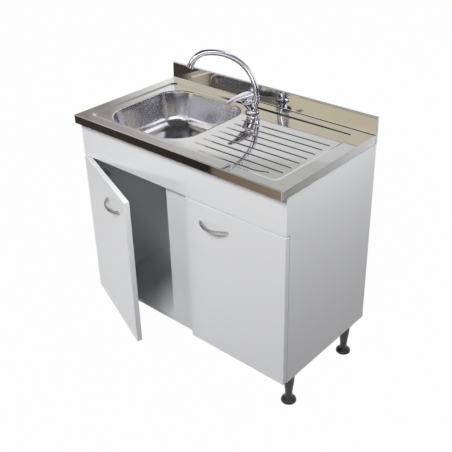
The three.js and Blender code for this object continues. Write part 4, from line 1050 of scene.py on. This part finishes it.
def makeStudio():
    makeFloor()
    makeWorld()
    softbox("keyLight", (0.4, -2.2, 2.75), (0, 0, 0.6), (1.5, 1), 82)
    softbox("sideLight", (1.0, 0.25, 1.9), (0.45, 0, 0.75), (0.9, 0.5), 24)
    softbox("backLight", (-1.3, 3, 1.9), (-0.1, 0.3, 0.5), (1.6, 1.2), 75)
    softbox("lowLeft", (-1.5, -2.0, 0.12), (-0.2, 0.2, 0.5), (0.8, 0.15), 12)
    # what lies behind, seen by the flat steel
    wallCard("backWarm", (16, 35.5), (4, 36), (0.38, 0.345, 0.31), (0.38, 0.35, 0.31))
    wallCard("backPale", (35.5, 42), (4, 36), (0.45, 0.43, 0.41), (1.08, 1.08, 1.1))
    wallCard("backWhite", (42, 56), (4, 36), (1.08, 1.08, 1.1), (0.9, 0.91, 0.94))
    wallCard("backRight", (56, 72), (4, 36), (0.9, 0.91, 0.94), (0.7, 0.7, 0.73))
    middleGrey, greyWall = (0.68, 0.68, 0.68), studio["greyWall"]
    skyCard("backGrey", [(33, 20), (44, 24.8), (44, 34), (33, 34)], (0.45, 0.42, 0.4), middleGrey,
            greyWall)
    skyCard("backGreyRight", [(44, 24.8), (72, 27.7), (72, 34), (44, 34)], middleGrey,
            (0.66, 0.66, 0.67), greyWall)
    # bright above it, and a dark band higher up that draws the ridges
    dark, bright, highWall = (0.035, 0.033, 0.03), (1.5, 1.5, 1.5), studio["highWall"]
    for name, azimuths, elevations, left, right in (
        ("highWarm", (-6, 38), (33, 52), (0.72, 0.68, 0.6), (0.78, 0.74, 0.66)),
        ("highFront", (-38, -6), (36, 45), bright, (1.3, 1.28, 1.2)),
        ("highFrontDark", (-38, -6), (45, 52), dark, dark),
        ("highDark", (-65, -38), (37, 52), (0.05, 0.047, 0.04), (0.05, 0.047, 0.04)),
        ("highFarFront", (-100, -65), (36, 52), bright, bright),
        ("highGrey", (50, 100), (37, 58), (0.46, 0.45, 0.43), (0.46, 0.46, 0.45)),
        ("highSide", (100, 135), (37, 60), (1.6, 1.6, 1.65), (1.6, 1.6, 1.65)),
    ):
        wallCard(name, azimuths, elevations, left, right, highWall)
    # the band's lower edge falls to the right; its upper edge is level
    bandTop, fall = 63, ((-100, 51.5), (12, 50.3), (28, 44.5), (38, 37))
    edges = {"ridgeDark": ((38, 37), (51, 36)), "ridgeDarkMiddle": fall[2:4],
             "ridgeDarkLeft": fall[1:3], "ridgeDarkFront": fall[0:2]}
    for name, (left, right) in edges.items():
        skyCard(name, [left, right, (right[0], bandTop), (left[0], bandTop)], dark, dark,
                studio["ridgeWall"])
    wallCard("cameraHigh", (-200, -97), (44, 62), (0.05, 0.047, 0.045), distance=studio["cameraWall"])
    wallCard("rightHigh", (135, 160), (42, bandTop), dark, distance=studio["cameraWall"])
    half, overhead = studio["overheadHalf"], studio["overhead"]
    square = ((-half, -half), (half, -half), (half, half), (-half, half))
    card("overheadDark", [(x, y, overhead) for x, y in square], (0.09, 0.09, 0.095))
    # the front left: dark low down, beige above and further round
    wallCard("frontDark", (-41, 22), (3, 20), (0.06, 0.055, 0.05), (0.08, 0.075, 0.07))
    wallCard("frontStrip", (-43.4, -41), (3, 20), (0.75, 0.68, 0.56), (0.85, 0.77, 0.64))
    wallCard("frontGrey", (-52.6, -43.4), (3, 20), (0.23, 0.23, 0.2), (0.17, 0.15, 0.13))
    wallCard("frontBeige", (-70, -52.6), (3, 20), (1.05, 0.95, 0.73), (1.15, 1.05, 0.8))
    wallCard("frontHigh", (-97, -30), (20, 36), (1.15, 1.05, 0.85), (1.2, 1.13, 0.98))
    wallCard("frontLeftHigh", (-30, 16), (20, 36), (0.5, 0.47, 0.43), (0.4, 0.37, 0.33))
    # the camera's side, seen by the bowl's walls: dark low down, bright for the fillet above
    wallCard("cameraLow", (-200, -70), (2, 14), (0.05, 0.05, 0.055))
    wallCard("cameraGlow", (-138, -97), (13, 24), (1.25, 1.25, 1.4))
    wallCard("cameraGlowFront", (-97, -70), (14, 20), (0.95, 0.95, 1.05))
    wallCard("cameraShade", (-200, -138), (14, 26), (0.12, 0.12, 0.125))
    wallCard("cameraSoft", (-138, -80), (24, 31), (0.14, 0.14, 0.15))
    wallCard("cameraBright", (-180, -138), (26, 44), (2.9, 2.9, 3.05))
    wallCard("cameraBrightHigh", (-138, -97), (30, 44), (2.9, 2.9, 3.05))
    wallCard("rightGrey", (125, 160), (6, 40), (0.27, 0.27, 0.28))
    # pieces of floor, seen by the skirt and the upstand
    for name, corners, left, right in (
        ("darkFloor", ((-5, -3.4), (-2.54, -3.14), (-0.443, -0.851), (-5, 1.6)),
         (0.12, 0.1, 0.085), (0.03, 0.025, 0.021)),
        ("tanFloor", ((-0.443, -0.851), (0.2, -0.9), (-1.5, -3.35), (-2.54, -3.14)),
         (0.23, 0.18, 0.14), (0.46, 0.37, 0.25)),
        ("rightFloor", ((1.3, -2.6), (4.5, -2.6), (4.5, 0.3), (1.3, 0.3)),
         (0.04, 0.04, 0.045), (0.04, 0.04, 0.045)),
        ("greyFloor", ((1.04, 0.55), (0.93, 1.3), (1.95, 3.1), (2.25, 2.15)),
         (0.33, 0.34, 0.32), (1.0, 1.01, 1.07)),
    ):
        card(name, [(x, y, studio["lowCards"]) for x, y in corners], left, right)


makeStudio()
print("studio made")
